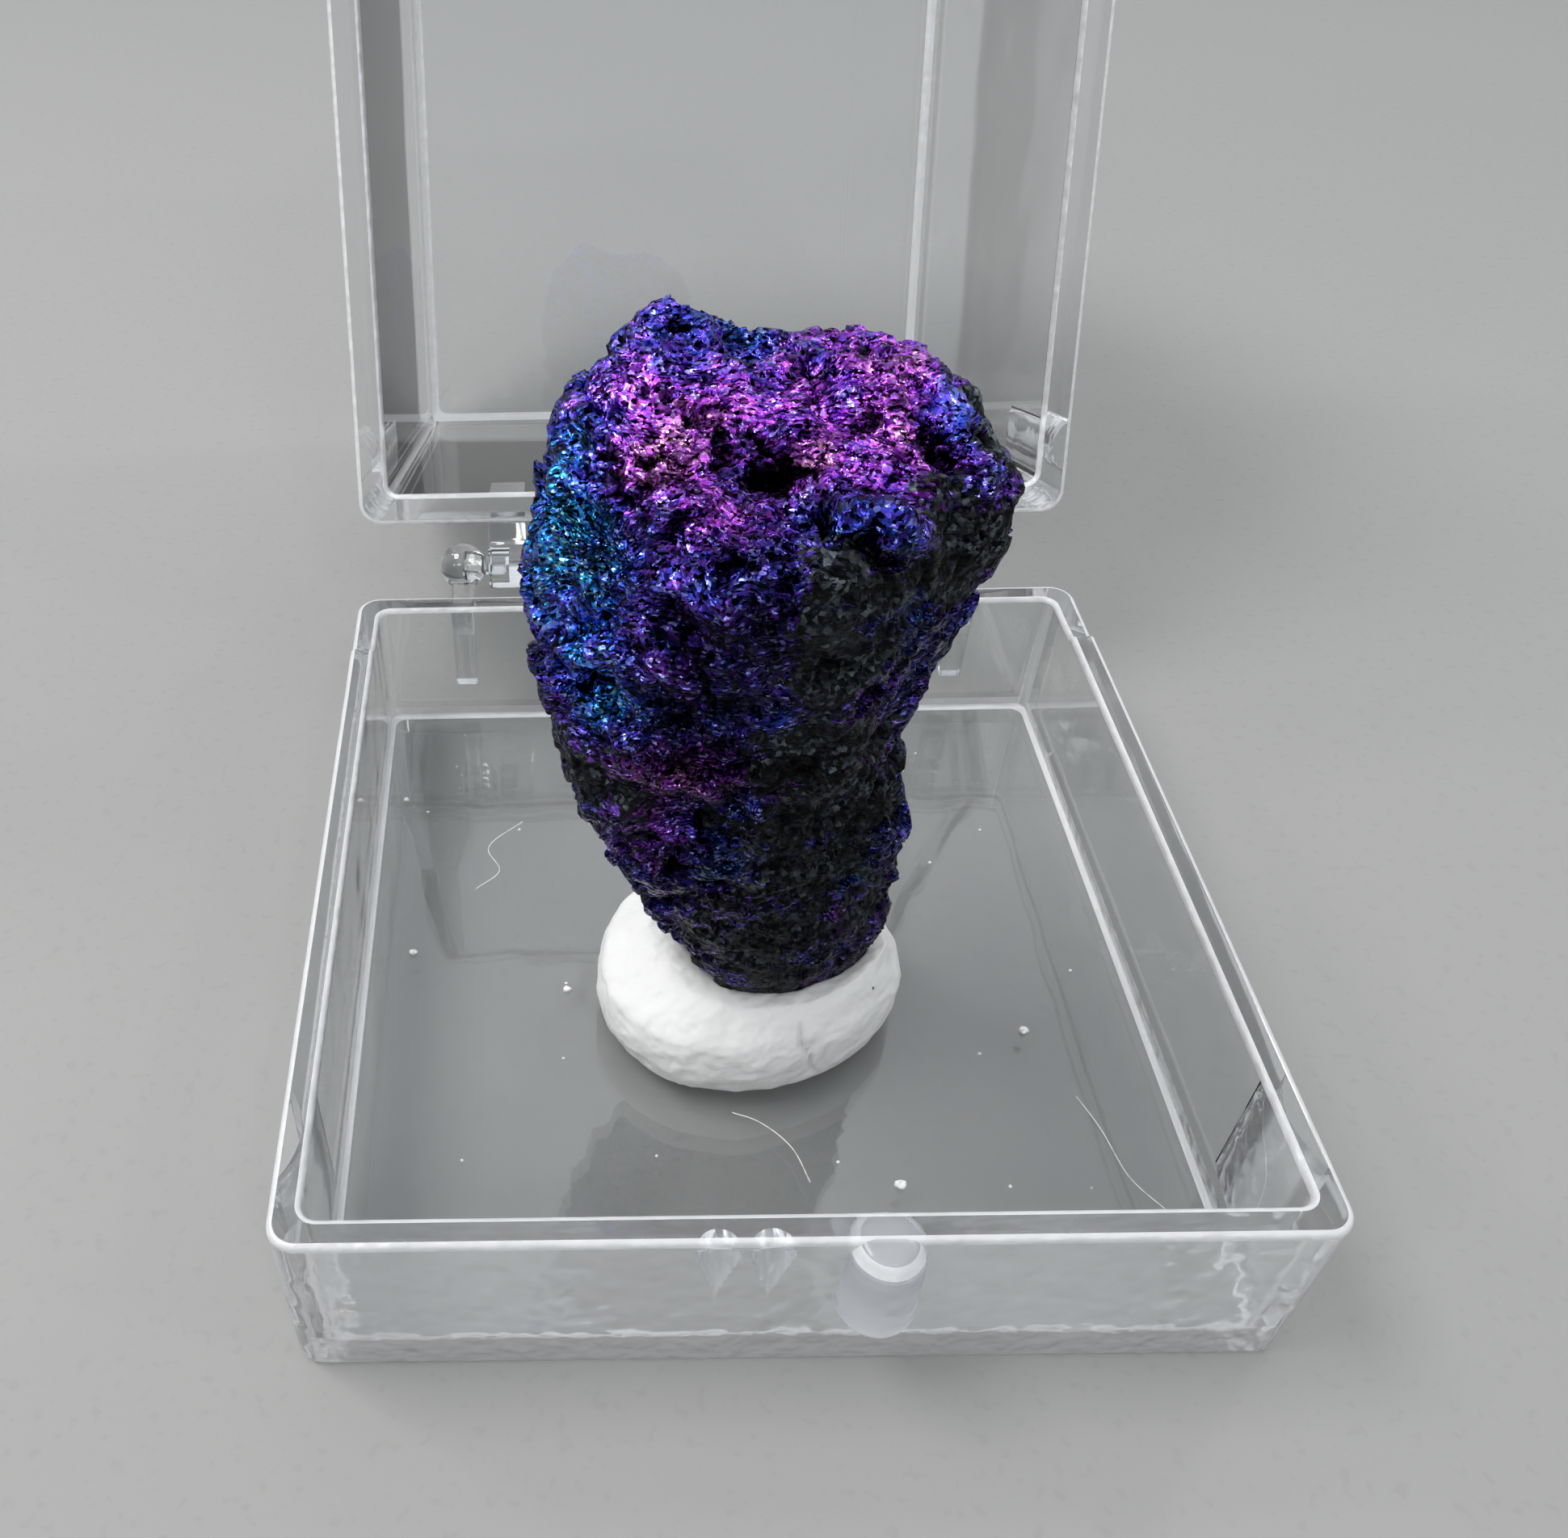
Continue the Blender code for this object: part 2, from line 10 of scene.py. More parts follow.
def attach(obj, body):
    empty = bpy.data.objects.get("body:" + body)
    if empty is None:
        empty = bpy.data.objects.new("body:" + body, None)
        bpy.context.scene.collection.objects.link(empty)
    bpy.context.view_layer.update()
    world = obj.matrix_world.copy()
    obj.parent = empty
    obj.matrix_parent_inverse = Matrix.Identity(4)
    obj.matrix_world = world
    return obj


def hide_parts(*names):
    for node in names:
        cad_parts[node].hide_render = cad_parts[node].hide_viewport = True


# A peacock ore stone in white putty, in a clear box with its lid swung back.
# Sizes in the dictionaries are in millimetres, and the frame's own are in metres.
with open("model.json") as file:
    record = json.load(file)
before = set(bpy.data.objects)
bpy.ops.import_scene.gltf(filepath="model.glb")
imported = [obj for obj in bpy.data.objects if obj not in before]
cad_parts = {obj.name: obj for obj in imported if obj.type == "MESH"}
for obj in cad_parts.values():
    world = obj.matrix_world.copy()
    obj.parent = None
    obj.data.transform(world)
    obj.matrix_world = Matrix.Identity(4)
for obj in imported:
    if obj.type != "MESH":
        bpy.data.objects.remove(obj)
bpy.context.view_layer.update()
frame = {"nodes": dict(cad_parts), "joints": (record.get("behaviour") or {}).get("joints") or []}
mm = 0.001
hinge = frame["joints"][0]
print("frame loaded:", ", ".join(sorted(frame["nodes"])))

# Camera: where the photograph was taken from, solved from the corners of the tray
camera = {
    "widthPixels": 1941,
    "focalPixels": 1793.0,
    "middlePixel": 671.5,      # the lens axis, in pixels from the left edge
    "place": (-14.5, -76.55, 95.77),
    "down": 43.26,             # degrees
    "turn": -0.97,
    "roll": 1.65,
    "sensor": 36.0,
}


def makeCamera(setting):
    down, turn, roll = (math.radians(setting[key]) for key in ("down", "turn", "roll"))
    ahead = Vector((
        math.sin(turn) * math.cos(down), math.cos(turn) * math.cos(down), -math.sin(down),
    ))
    level = Vector((math.cos(turn), -math.sin(turn), 0.0))
    under = ahead.cross(level)
    right = math.cos(roll) * level + math.sin(roll) * under
    up = math.sin(roll) * level - math.cos(roll) * under
    data = bpy.data.cameras.new("camera")
    data.sensor_width = setting["sensor"]
    data.lens = setting["sensor"] * setting["focalPixels"] / setting["widthPixels"]
    data.shift_x = 0.5 - setting["middlePixel"] / setting["widthPixels"]
    data.clip_start = 0.001
    view = bpy.data.objects.new("camera", data)
    bpy.context.scene.collection.objects.link(view)
    turned = Matrix((right, up, -ahead)).transposed().to_4x4()
    view.matrix_world = Matrix.Translation(Vector(setting["place"]) * mm) @ turned
    bpy.context.scene.camera = view


makeCamera(camera)
print("camera placed")

# Light: a soft dome that is brightest above and behind, a broad lamp high on the left, a smaller one
# in front and five small crisp ones for the glints
studio = {
    "sky": (0.93, 0.96, 1.0),
    "skyLow": 0.30,             # strength at the front's horizon
    "skyHigh": 1.05,            # strength above and behind
    "skyLean": (0.0, 0.45, 0.90),
    "skyRange": (-0.25, 0.95),
    "floor": (0.275, 0.275, 0.267),
    "floorRoughness": 0.75,
    "floorSize": 4.0,           # metres
    "floorGap": 0.05,           # millimetres
    "floorMarks": (40.0, 900.0, 0.60),
    "floorDark": 0.94,
    "exposure": 0.0,
    # name: (place, aimed at, width, depth, watts, colour), in metres
    "lamps": {
        "overhead": ((-0.30, 0.02, 0.56), (0, 0.0, 0.03), 0.30, 0.20, 2.3, (1.0, 0.99, 0.97)),
        "front": ((-0.22, -0.46, 0.46), (0, 0, 0.03), 0.16, 0.12, 0.45, (1.0, 0.985, 0.96)),
        "glintLeft": ((-0.42, 0.22, 0.40), (0, 0, 0.04), 0.05, 0.05, 0.34, (1.0, 0.98, 0.95)),
        "glintBack": ((0.36, 0.30, 0.44), (0, 0, 0.04), 0.05, 0.05, 0.34, (1.0, 0.99, 0.97)),
        "glintFront": ((0.12, -0.34, 0.42), (0, 0, 0.04), 0.045, 0.045, 0.26, (0.96, 0.98, 1.0)),
        "glintRight": ((0.44, -0.16, 0.34), (0, 0, 0.04), 0.045, 0.045, 0.22, (0.96, 0.98, 1.0)),
        "glintLow": ((-0.40, -0.28, 0.30), (0, 0, 0.04), 0.045, 0.045, 0.22, (0.98, 0.99, 1.0)),
    },
}


def makeSky(setting):
    # strength rises with how far a direction leans up and back
    world = bpy.data.worlds.new("sky")
    world.use_nodes = True
    tree = world.node_tree
    ways = tree.nodes.new("ShaderNodeTexCoord")
    lean = tree.nodes.new("ShaderNodeVectorMath")
    lean.operation = "DOT_PRODUCT"
    lean.inputs[1].default_value = setting["skyLean"]
    tree.links.new(ways.outputs["Generated"], lean.inputs[0])
    rise = tree.nodes.new("ShaderNodeMapRange")
    rise.interpolation_type = "SMOOTHSTEP"
    for key, value in zip(("From Min", "From Max"), setting["skyRange"]):
        rise.inputs[key].default_value = value
    rise.inputs["To Min"].default_value = setting["skyLow"]
    rise.inputs["To Max"].default_value = setting["skyHigh"]
    tree.links.new(lean.outputs["Value"], rise.inputs["Value"])
    sky = tree.nodes["Background"]
    sky.inputs["Color"].default_value = (*setting["sky"], 1.0)
    tree.links.new(rise.outputs["Result"], sky.inputs["Strength"])
    bpy.context.scene.world = world


def makeStudio(setting):
    makeSky(setting)
    for name, (place, aim, width, depth, watts, colour) in setting["lamps"].items():
        data = bpy.data.lights.new(name, "AREA")
        data.shape = "RECTANGLE"
        data.size, data.size_y = width, depth
        data.energy = watts
        data.color = colour
        lamp = bpy.data.objects.new(name, data)
        bpy.context.scene.collection.objects.link(lamp)
        lamp.location = place
        lamp.rotation_euler = (Vector(aim) - Vector(place)).to_track_quat("-Z", "Y").to_euler()
    bpy.context.scene.view_settings.view_transform = "Standard"
    bpy.context.scene.view_settings.exposure = setting["exposure"]


makeStudio(studio)
print("studio lit")


# Mesh helpers
def makePiece(name, points, faceGroups, materials, sharpAngle=None, wearAndHighlight=None):
    # points in mm; each face group is an array of faces with the same number of corners. A face
    # wears the material with the least number among its corners' own.
    mesh = bpy.data.meshes.new(name)
    corners = np.concatenate([group.ravel() for group in faceGroups])
    sizes = np.concatenate([np.full(len(group), group.shape[1]) for group in faceGroups])
    mesh.vertices.add(len(points))
    mesh.vertices.foreach_set("co", (points * mm).ravel())
    mesh.loops.add(len(corners))
    mesh.loops.foreach_set("vertex_index", corners)
    mesh.polygons.add(len(sizes))
    mesh.polygons.foreach_set("loop_start", np.cumsum(sizes) - sizes)
    mesh.update(calc_edges=True)
    mesh.validate()
    bm = bmesh.new()
    bm.from_mesh(mesh)
    bmesh.ops.recalc_face_normals(bm, faces=bm.faces)
    bm.to_mesh(mesh)
    bm.free()
    mesh.polygons.foreach_set("use_smooth", np.ones(len(mesh.polygons), dtype=bool))
    if sharpAngle is not None:
        mesh.set_sharp_from_angle(angle=math.radians(sharpAngle))
    for material in materials:
        mesh.materials.append(material)
    if wearAndHighlight is not None:
        least = np.minimum.reduceat(wearAndHighlight[corners], np.cumsum(sizes) - sizes)
        mesh.polygons.foreach_set("material_index", least.astype(np.int32))
    piece = bpy.data.objects.new(name, mesh)
    bpy.context.scene.collection.objects.link(piece)
    return piece


def netFaces(rows, columns, closed=True):
    # quads between the points of a grid, whose columns close on themselves
    wide = columns if closed else columns - 1
    row, column = np.meshgrid(np.arange(rows - 1), np.arange(wide), indexing="ij")
    beside = (column + 1) % columns
    quads = (row * columns + column, row * columns + beside,
             (row + 1) * columns + beside, (row + 1) * columns + column)
    return np.stack(quads, axis=-1).reshape(-1, 4)


def endCaps(rows, columns):
    # the first and the last row of a closed net, each as one face
    return np.stack([np.arange(columns)[::-1], (rows - 1) * columns + np.arange(columns)])


def joinParts(parts):
    # several (points, face groups) as one, each still a closed body
    points, groups, before = [], [], 0
    for partPoints, partGroups in parts:
        groups += [group + before for group in partGroups]
        points.append(partPoints)
        before += len(partPoints)
    return np.concatenate(points), groups


def setAttribute(piece, name, values):
    attribute = piece.data.attributes.new(name, "FLOAT", "POINT")
    attribute.data.foreach_set("value", np.asarray(values, dtype=np.float32))


# Material helpers
def startMaterial(name):
    material = bpy.data.materials.new(name)
    material.use_nodes = True
    tree = material.node_tree
    return material, tree, tree.nodes["Principled BSDF"]


def addNode(tree, kind, inputs=None, **settings):
    node = tree.nodes.new("ShaderNode" + kind)
    for key, value in settings.items():
        setattr(node, key, value)
    for key, value in (inputs or {}).items():
        if isinstance(value, bpy.types.NodeSocket):
            tree.links.new(value, node.inputs[key])
        else:
            node.inputs[key].default_value = value
    return node


def mathNode(tree, operation, first, second=0.0, clamp=False):
    node = addNode(tree, "Math", {0: first, 1: second}, operation=operation, use_clamp=clamp)
    return node.outputs[0]


def product(tree, first, *others, clamp=False):
    # multiplies values one after another, and may clamp the last product
    for number, other in enumerate(others, 1):
        first = mathNode(tree, "MULTIPLY", first, other, clamp and number == len(others))
    return first


def pushBy(tree, start, noise, size):
    # adds a noise's colour to a vector, centred on zero and scaled
    away = addNode(tree, "VectorMath", {
        0: noise.outputs["Color"], 1: (0.5, 0.5, 0.5),
    }, operation="SUBTRACT")
    away = addNode(tree, "VectorMath", {0: away.outputs[0], "Scale": size}, operation="SCALE")
    return addNode(tree, "VectorMath", {0: start, 1: away.outputs[0]}, operation="ADD").outputs[0]


def mixColour(tree, share, first, second, blend="MIX"):
    node = addNode(tree, "Mix", data_type="RGBA", blend_type=blend)
    for key, value in ((0, share), (6, first), (7, second)):
        if isinstance(value, bpy.types.NodeSocket):
            tree.links.new(value, node.inputs[key])
        else:
            node.inputs[key].default_value = value if key == 0 else (*value, 1.0)
    return node.outputs[2]


def spread(tree, value, low, high, newLow=0.0, newHigh=1.0):
    # maps low..high to newLow..newHigh and holds it there
    node = addNode(tree, "MapRange", {
        "Value": value, "From Min": low, "From Max": high, "To Min": newLow, "To Max": newHigh,
    }, clamp=True)
    return node.outputs["Result"]


def readAttribute(tree, name):
    return addNode(tree, "Attribute", attribute_name=name).outputs["Fac"]


def colourRamp(tree, value, stops):
    node = addNode(tree, "ValToRGB", {"Fac": value})
    ramp = node.color_ramp
    while len(ramp.elements) < len(stops):
        ramp.elements.new(1.0)
    for element, (place, colour) in zip(ramp.elements, stops):
        element.position = place
        element.color = (*colour, 1.0)
    return node.outputs["Color"]


# Shared effect: how a moulded or pressed surface is never quite even. It gives a height for a bump
# and a mask of small marks.
markSlope = 9.0            # how sharply a mark begins


def makeSurfaceMarks():
    group = bpy.data.node_groups.new("surfaceMarks", "ShaderNodeTree")
    for name, value in (("Wave Scale", 90.0), ("Mark Scale", 1500.0), ("Mark Level", 0.62)):
        socket = group.interface.new_socket(name, in_out="INPUT", socket_type="NodeSocketFloat")
        socket.default_value = value
    group.interface.new_socket("Height", in_out="OUTPUT", socket_type="NodeSocketFloat")
    group.interface.new_socket("Marks", in_out="OUTPUT", socket_type="NodeSocketFloat")
    given = group.nodes.new("NodeGroupInput").outputs
    place = addNode(group, "TexCoord").outputs["Object"]
    wave = addNode(group, "TexNoise", {
        "Vector": place, "Scale": given["Wave Scale"], "Detail": 1.0, "Roughness": 0.5,
    }).outputs["Fac"]
    fine = addNode(group, "TexNoise", {
        "Vector": place, "Scale": given["Mark Scale"], "Detail": 1.0, "Roughness": 0.6,
    }).outputs["Fac"]
    over = mathNode(group, "SUBTRACT", fine, given["Mark Level"])
    marks = mathNode(group, "MULTIPLY", over, markSlope, clamp=True)
    taken = group.nodes.new("NodeGroupOutput").inputs
    group.links.new(wave, taken["Height"])
    group.links.new(marks, taken["Marks"])
    return group


surfaceMarks = makeSurfaceMarks()


def placeMarks(tree, waveScale, markScale, markLevel):
    node = tree.nodes.new("ShaderNodeGroup")
    node.node_tree = surfaceMarks
    given = (("Wave Scale", waveScale), ("Mark Scale", markScale), ("Mark Level", markLevel))
    for key, value in given:
        node.inputs[key].default_value = value
    return node.outputs["Height"], node.outputs["Marks"]


# Floor
def makeFloor(setting):
    half = setting["floorSize"] / 2 / mm
    gap = setting["floorGap"]
    corners = ((-half, -half), (half, -half), (half, half), (-half, half))
    points = np.array([(x, y, -gap) for x, y in corners])
    material, tree, shader = startMaterial("paleFloor")
    _, marks = placeMarks(tree, *setting["floorMarks"])
    darker = tuple(part * setting["floorDark"] for part in setting["floor"])
    colour = mixColour(tree, marks, setting["floor"], darker)
    tree.links.new(colour, shader.inputs["Base Color"])
    shader.inputs["Roughness"].default_value = setting["floorRoughness"]
    floor = makePiece("floor", points, [np.array([[0, 1, 2, 3]])], [material])
    if floor.data.polygons[0].normal.z < 0:
        floor.data.flip_normals()


makeFloor(studio)
print("floor laid")

# The stone. Its levels are (height, left, right, front, back) extents.
stone = {
    "levels": (
        (6.6, -6.2, 7.9, -8.6, -1.8),
        (10.0, -7.3, 9.3, -9.8, -0.8),
        (17.0, -8.4, 9.4, -10.9, 0.6),
        (21.0, -10.0, 9.2, -11.6, 1.4),
        (26.0, -12.3, 8.4, -12.8, 2.4),
        (32.0, -13.9, 7.3, -14.0, 3.4),
        (38.0, -15.2, 8.1, -15.2, 4.3),
        (44.0, -15.9, 9.8, -16.2, 5.0),
        (50.0, -15.3, 11.4, -16.7, 5.0),
        (54.0, -14.1, 10.2, -16.4, 4.4),
        (58.0, -12.4, 6.8, -15.3, 3.4),
        (62.0, -10.0, 4.0, -13.0, 1.6),
    ),
    "corners": (2.5, 1.6, 2.2, 1.9),   # squareness: left front, right front, left back, right back
    "middleShift": -0.5,
    "rounds": (2.6, 1.2, 1.5),         # edges at the top, between broken faces, at the foot
    "topSpot": (-2.0, -8.0, 55.4),
    "topRise": 0.24,
    "topFall": 0.08,
    "topBend": (-3.0, 0.030),
    "faces": (                         # broken faces: a point and the direction that each faces
        ((6.8, -12.5, 46.0), (0.66, -0.74, -0.10)),
        ((-11.5, -13.4, 42.0), (-0.62, -0.76, 0.18)),
        ((-13.4, -6.0, 55.1), (-0.72, -0.25, 0.64)),
        ((-11.2, -9.0, 20.5), (-0.72, -0.42, -0.55)),
        ((4.5, -12.9, 30.0), (0.35, -0.92, -0.16)),
        ((3.0, 3.2, 46.0), (0.30, 0.92, 0.24)),
        ((-9.0, 2.6, 36.0), (-0.55, 0.82, -0.14)),
    ),
    "forms": (                         # bumps and hollows: spot, height and spread
        ((-6.5, -3.0, 57.0), 3.3, 2.8),
        ((-9.8, -5.0, 56.0), 1.4, 2.4),
        ((-4.0, -0.8, 57.3), -3.4, 2.3),
        ((3.0, -4.0, 56.5), 0.9, 4.0),
        ((-3.0, -12.0, 55.0), -1.7, 3.6),
        ((9.8, -5.5, 54.4), -0.4, 2.2),
        ((6.2, -1.5, 56.5), 0.9, 2.2),
        ((7.2, -9.5, 56.0), -1.2, 2.4),
        ((0.8, -16.6, 53.6), 1.0, 3.0),
        ((0.4, -15.4, 47.5), -1.0, 3.2),
        ((9.0, -6.0, 39.5), 1.3, 1.9),
        ((8.4, -7.0, 32.0), -0.7, 2.4),
        ((9.0, -6.0, 24.5), 0.8, 2.6),
        ((-3.0, -14.6, 40.0), -0.9, 3.4),
        ((-8.0, -14.5, 46.0), 0.9, 3.2),
        ((2.2, -13.6, 36.0), 0.8, 2.8),
        ((-6.5, -12.0, 27.0), 0.8, 2.8),
        ((-15.5, -5.5, 38.5), 0.7, 2.0),
        ((2.0, 4.6, 40.0), 1.0, 4.0),
        ((-6.0, 2.5, 28.0), -1.0, 3.6),
        ((4.0, 1.0, 18.0), 0.8, 3.2),
    ),
    "warp": (6.0, 1.8, (21, 22, 23)),
    "lumps": ((6.5, 11, 0.60, 1.9), (3.4, 12, 0.30, 1.0)),
    "ledges": ((0.09, 0.04, 0.17), 1.3, 8.0, 31, 0.4),
    "pits": (3.0, 41, 0.46, 1.2),
    "fade": (8.0, 5.0, 0.15),
    "centre": (-1.5, -6.0, 34.0),
    "stretch": (14.0, 11.0, 27.0),
    "count": 118,                      # cells along an edge of the net's cube
    # broken grains: cell, seed, tilt and step
    "grains": (
        (2.6, 51, 0.15, 0.05),
        (1.2, 52, 0.20, 0.04),
        (0.6, 53, 0.26, 0.03),
    ),
    # ridges that run in short strokes: cell, seed and height
    "strokes": ((2.2, 61, 0.30), (1.1, 62, 0.18), (0.55, 63, 0.08)),
    "strokeWay": ((0.88, 0.22, -0.42), (0.55, 0.95, 1.35)),   # the way they run, and their stretch
    "rockCalm": 0.6,                   # how much of the relief bare rock lacks
    # holes, at places drawn from the points on the top
    "holes": {"seed": 91, "count": 9, "above": 52.0, "facing": 0.5, "depth": (0.8, 1.4),
              "width": (0.35, 1.0), "height": 1.5},
}


# A lattice corner's place in the tables of random numbers that the noises read
latticeSize = 4096
latticeWays = np.array([127, 311, 1009])
latticeShift = 64                      # keeps the corners' numbers above zero


def latticeKey(corners):
    key = (corners + latticeShift) @ latticeWays
    return (key ^ key >> 5) % latticeSize


def smoothNoise(points, cell, seed):
    # value noise between -1 and 1: random numbers on a lattice, eased between its corners
    table = np.random.default_rng(seed).uniform(-1.0, 1.0, latticeSize)
    scaled = points / cell
    base = np.floor(scaled).astype(np.int64)
    part = scaled - base
    ease = part * part * (3.0 - 2.0 * part)
    total = np.zeros(len(points))
    for corner in range(8):
        offset = np.array([corner & 1, corner >> 1 & 1, corner >> 2 & 1])
        weight = np.prod(np.where(offset == 1, ease, 1.0 - ease), axis=1)
        total += weight * table[latticeKey(base + offset)]
    return total


def warped(points, setting):
    # points moved by three noises: (cell, size, seeds)
    cell, size, seeds = setting
    return points + np.stack([smoothNoise(points, cell, seed) for seed in seeds], axis=1) * size


def smoothMax(first, second, blend):
    # the larger of two, plus a parabola where they are closer than the blend
    share = np.maximum(blend - np.abs(first - second), 0.0) / blend
    return np.maximum(first, second) + share * share * blend / 4


def stoneField(points):
    # below zero inside: a superellipse through each level's four extents, cut by the sloping top,
    # by the broken faces and by the foot
    x, y, z = points.T
    levels = np.array(stone["levels"])
    left, right, front, back = (np.interp(z, levels[:, 0], levels[:, k]) for k in range(1, 5))
    awayX = x - (left + right) / 2
    awayY = y - (front + back) / 2 - stone["middleShift"]
    leftSide = (left + right) / 2 - left
    frontSide = (front + back) / 2 + stone["middleShift"] - front
    backSide = back - (front + back) / 2 - stone["middleShift"]
    across = np.abs(awayX) / leftSide
    along = np.abs(awayY) / np.where(awayY < 0, frontSide, backSide)
    sideShare = 1 / (1 + np.exp(-awayX))
    depthShare = 1 / (1 + np.exp(-awayY))
    leftFront, rightFront, leftBack, rightBack = stone["corners"]
    corner = ((1 - depthShare) * ((1 - sideShare) * leftFront + sideShare * rightFront)
              + depthShare * ((1 - sideShare) * leftBack + sideShare * rightBack))
    form = (across ** corner + along ** corner + 1e-9) ** (1 / corner)
    reach = np.hypot(awayX, awayY)
    topRound, faceRound, footRound = stone["rounds"]
    spotX, spotY, top = stone["topSpot"]
    bendY, bend = stone["topBend"]
    top = top + stone["topRise"] * (y - spotY) - stone["topFall"] * (x - spotX)
    top = top - bend * np.maximum(y - bendY, 0.0) ** 2
    body = smoothMax(reach - reach / np.maximum(form, 1e-6), z - top, topRound)
    for spot, facing in stone["faces"]:
        facing = np.array(facing) / np.linalg.norm(facing)
        body = smoothMax(body, (points - np.array(spot)) @ facing, faceRound)
    return smoothMax(body, stone["levels"][0][0] - z, footRound)


def stoneRelief(points):
    # the sum of the named bumps (Gaussians), creased lumps (one minus the noise's size), slanting
    # ledges (a saw-tooth in patches) and pits (the noise over a level)
    rise = np.zeros(len(points))
    for spot, height, spreadOut in stone["forms"]:
        away = np.sum((points - np.array(spot)) ** 2, axis=1)
        rise += height * np.exp(-away / spreadOut ** 2)
    bent = warped(points, stone["warp"])
    for cell, seed, height, crease in stone["lumps"]:
        rise += height - np.abs(smoothNoise(bent, cell, seed)) * crease
    across, height, cell, seed, cover = stone["ledges"]
    climb = (bent @ np.array(across)) % 1.0 - 0.5
    rise += height * climb * np.clip(smoothNoise(points, cell, seed) + cover, 0.0, 1.0)
    cell, seed, level, depth = stone["pits"]
    return rise - depth * np.clip(smoothNoise(points, cell, seed) - level, 0.0, 1.0)


def stoneSurface(directions):
    # along each direction from the centre: the field's zero, found by halving, plus the relief
    centre = np.array(stone["centre"])
    low = np.zeros(len(directions))
    high = np.full(len(directions), 45.0)
    for _ in range(30):
        middle = (low + high) / 2
        outside = stoneField(centre + directions * middle[:, None]) > 0
        high = np.where(outside, middle, high)
        low = np.where(outside, low, middle)
    points = centre + directions * low[:, None]
    start, height, least = stone["fade"]
    fade = np.clip((points[:, 2] - start) / height, least, 1.0)
    return points + directions * (stoneRelief(points) * fade)[:, None], fade


def cubeNet(count, stretch):
    # a cube's six grids, with their shared edges merged, swollen to a ball by the tangent of the
    # angle along each edge and then stretched
    step, across = np.meshgrid(np.arange(count + 1), np.arange(count + 1), indexing="ij")
    spots, quads = [], []
    for axis in range(3):
        for far in (0, 1):
            spot = np.zeros((count + 1, count + 1, 3), dtype=np.int64)
            spot[..., axis] = count * far
            spot[..., (axis + 1) % 3] = step
            spot[..., (axis + 2) % 3] = across
            index = len(spots) * (count + 1) ** 2 + step * (count + 1) + across
            ring = (index[:-1, :-1], index[1:, :-1], index[1:, 1:], index[:-1, 1:])
            ring = np.stack(ring, axis=-1).reshape(-1, 4)
            quads.append(ring if far else ring[:, ::-1])
            spots.append(spot.reshape(-1, 3))
    spots = np.concatenate(spots)
    keys = spots @ np.array([1, count + 1, (count + 1) ** 2])
    _, first, back = np.unique(keys, return_index=True, return_inverse=True)
    ticks = np.tan(np.linspace(-math.pi / 4, math.pi / 4, count + 1))
    directions = ticks[spots[first]]
    directions /= np.linalg.norm(directions, axis=1)[:, None]
    directions *= np.array(stretch)
    return directions / np.linalg.norm(directions, axis=1)[:, None], back[np.concatenate(quads)]


def pointNormals(points, quads):
    # each point's normal is the sum of the cross products of its faces' diagonals
    first, second, third, fourth = (points[quads[:, corner]] for corner in range(4))
    cross = np.cross(third - first, fourth - second)
    normals = np.zeros_like(points)
    for corner in range(4):
        np.add.at(normals, quads[:, corner], cross)
    return normals / np.maximum(np.linalg.norm(normals, axis=1), 1e-12)[:, None]


def brokenGrains(points, cell, seed, tilt, step):
    # the nearest seed of a jittered lattice owns the point, and its rise is the height there of a
    # tilted plane through that seed, so each grain is one flat break
    rng = np.random.default_rng(seed)
    jitter = rng.uniform(0.0, 1.0, (latticeSize, 3))
    lean = rng.normal(0.0, 1.0, (latticeSize, 3)) * tilt
    level = rng.uniform(-1.0, 1.0, latticeSize) * step
    base = np.floor(points / cell).astype(np.int64)
    nearest = np.full(len(points), np.inf)
    rise = np.zeros(len(points))
    for number in range(27):
        home = base + np.array([number // 9 - 1, number // 3 % 3 - 1, number % 3 - 1])
        key = latticeKey(home)
        away = points - (home + jitter[key]) * cell
        distance = np.sum(away * away, axis=1)
        height = np.sum(away * lean[key], axis=1) + level[key]
        closer = distance < nearest
        rise = np.where(closer, height, rise)
        nearest = np.where(closer, distance, nearest)
    return rise


def strokeRidges(points):
    # sums one minus twice the size of a noise, whose crests are sharp lines, over points that are
    # turned and stretched so that the crests run one way
    way, stretch = stone["strokeWay"]
    along = np.array(way) / np.linalg.norm(way)
    side = np.cross(along, np.array([0.0, 0.0, 1.0]))
    side /= np.linalg.norm(side)
    turned = points @ np.stack([along, side, np.cross(side, along)], axis=1) * np.array(stretch)
    rise = np.zeros(len(points))
    for cell, seed, height in stone["strokes"]:
        bend = smoothNoise(points, cell * 2.4, seed + 5)[:, None] * cell * 0.8
        rise += height * (1 - 2.4 * np.abs(smoothNoise(turned + bend, cell, seed)))
    return rise
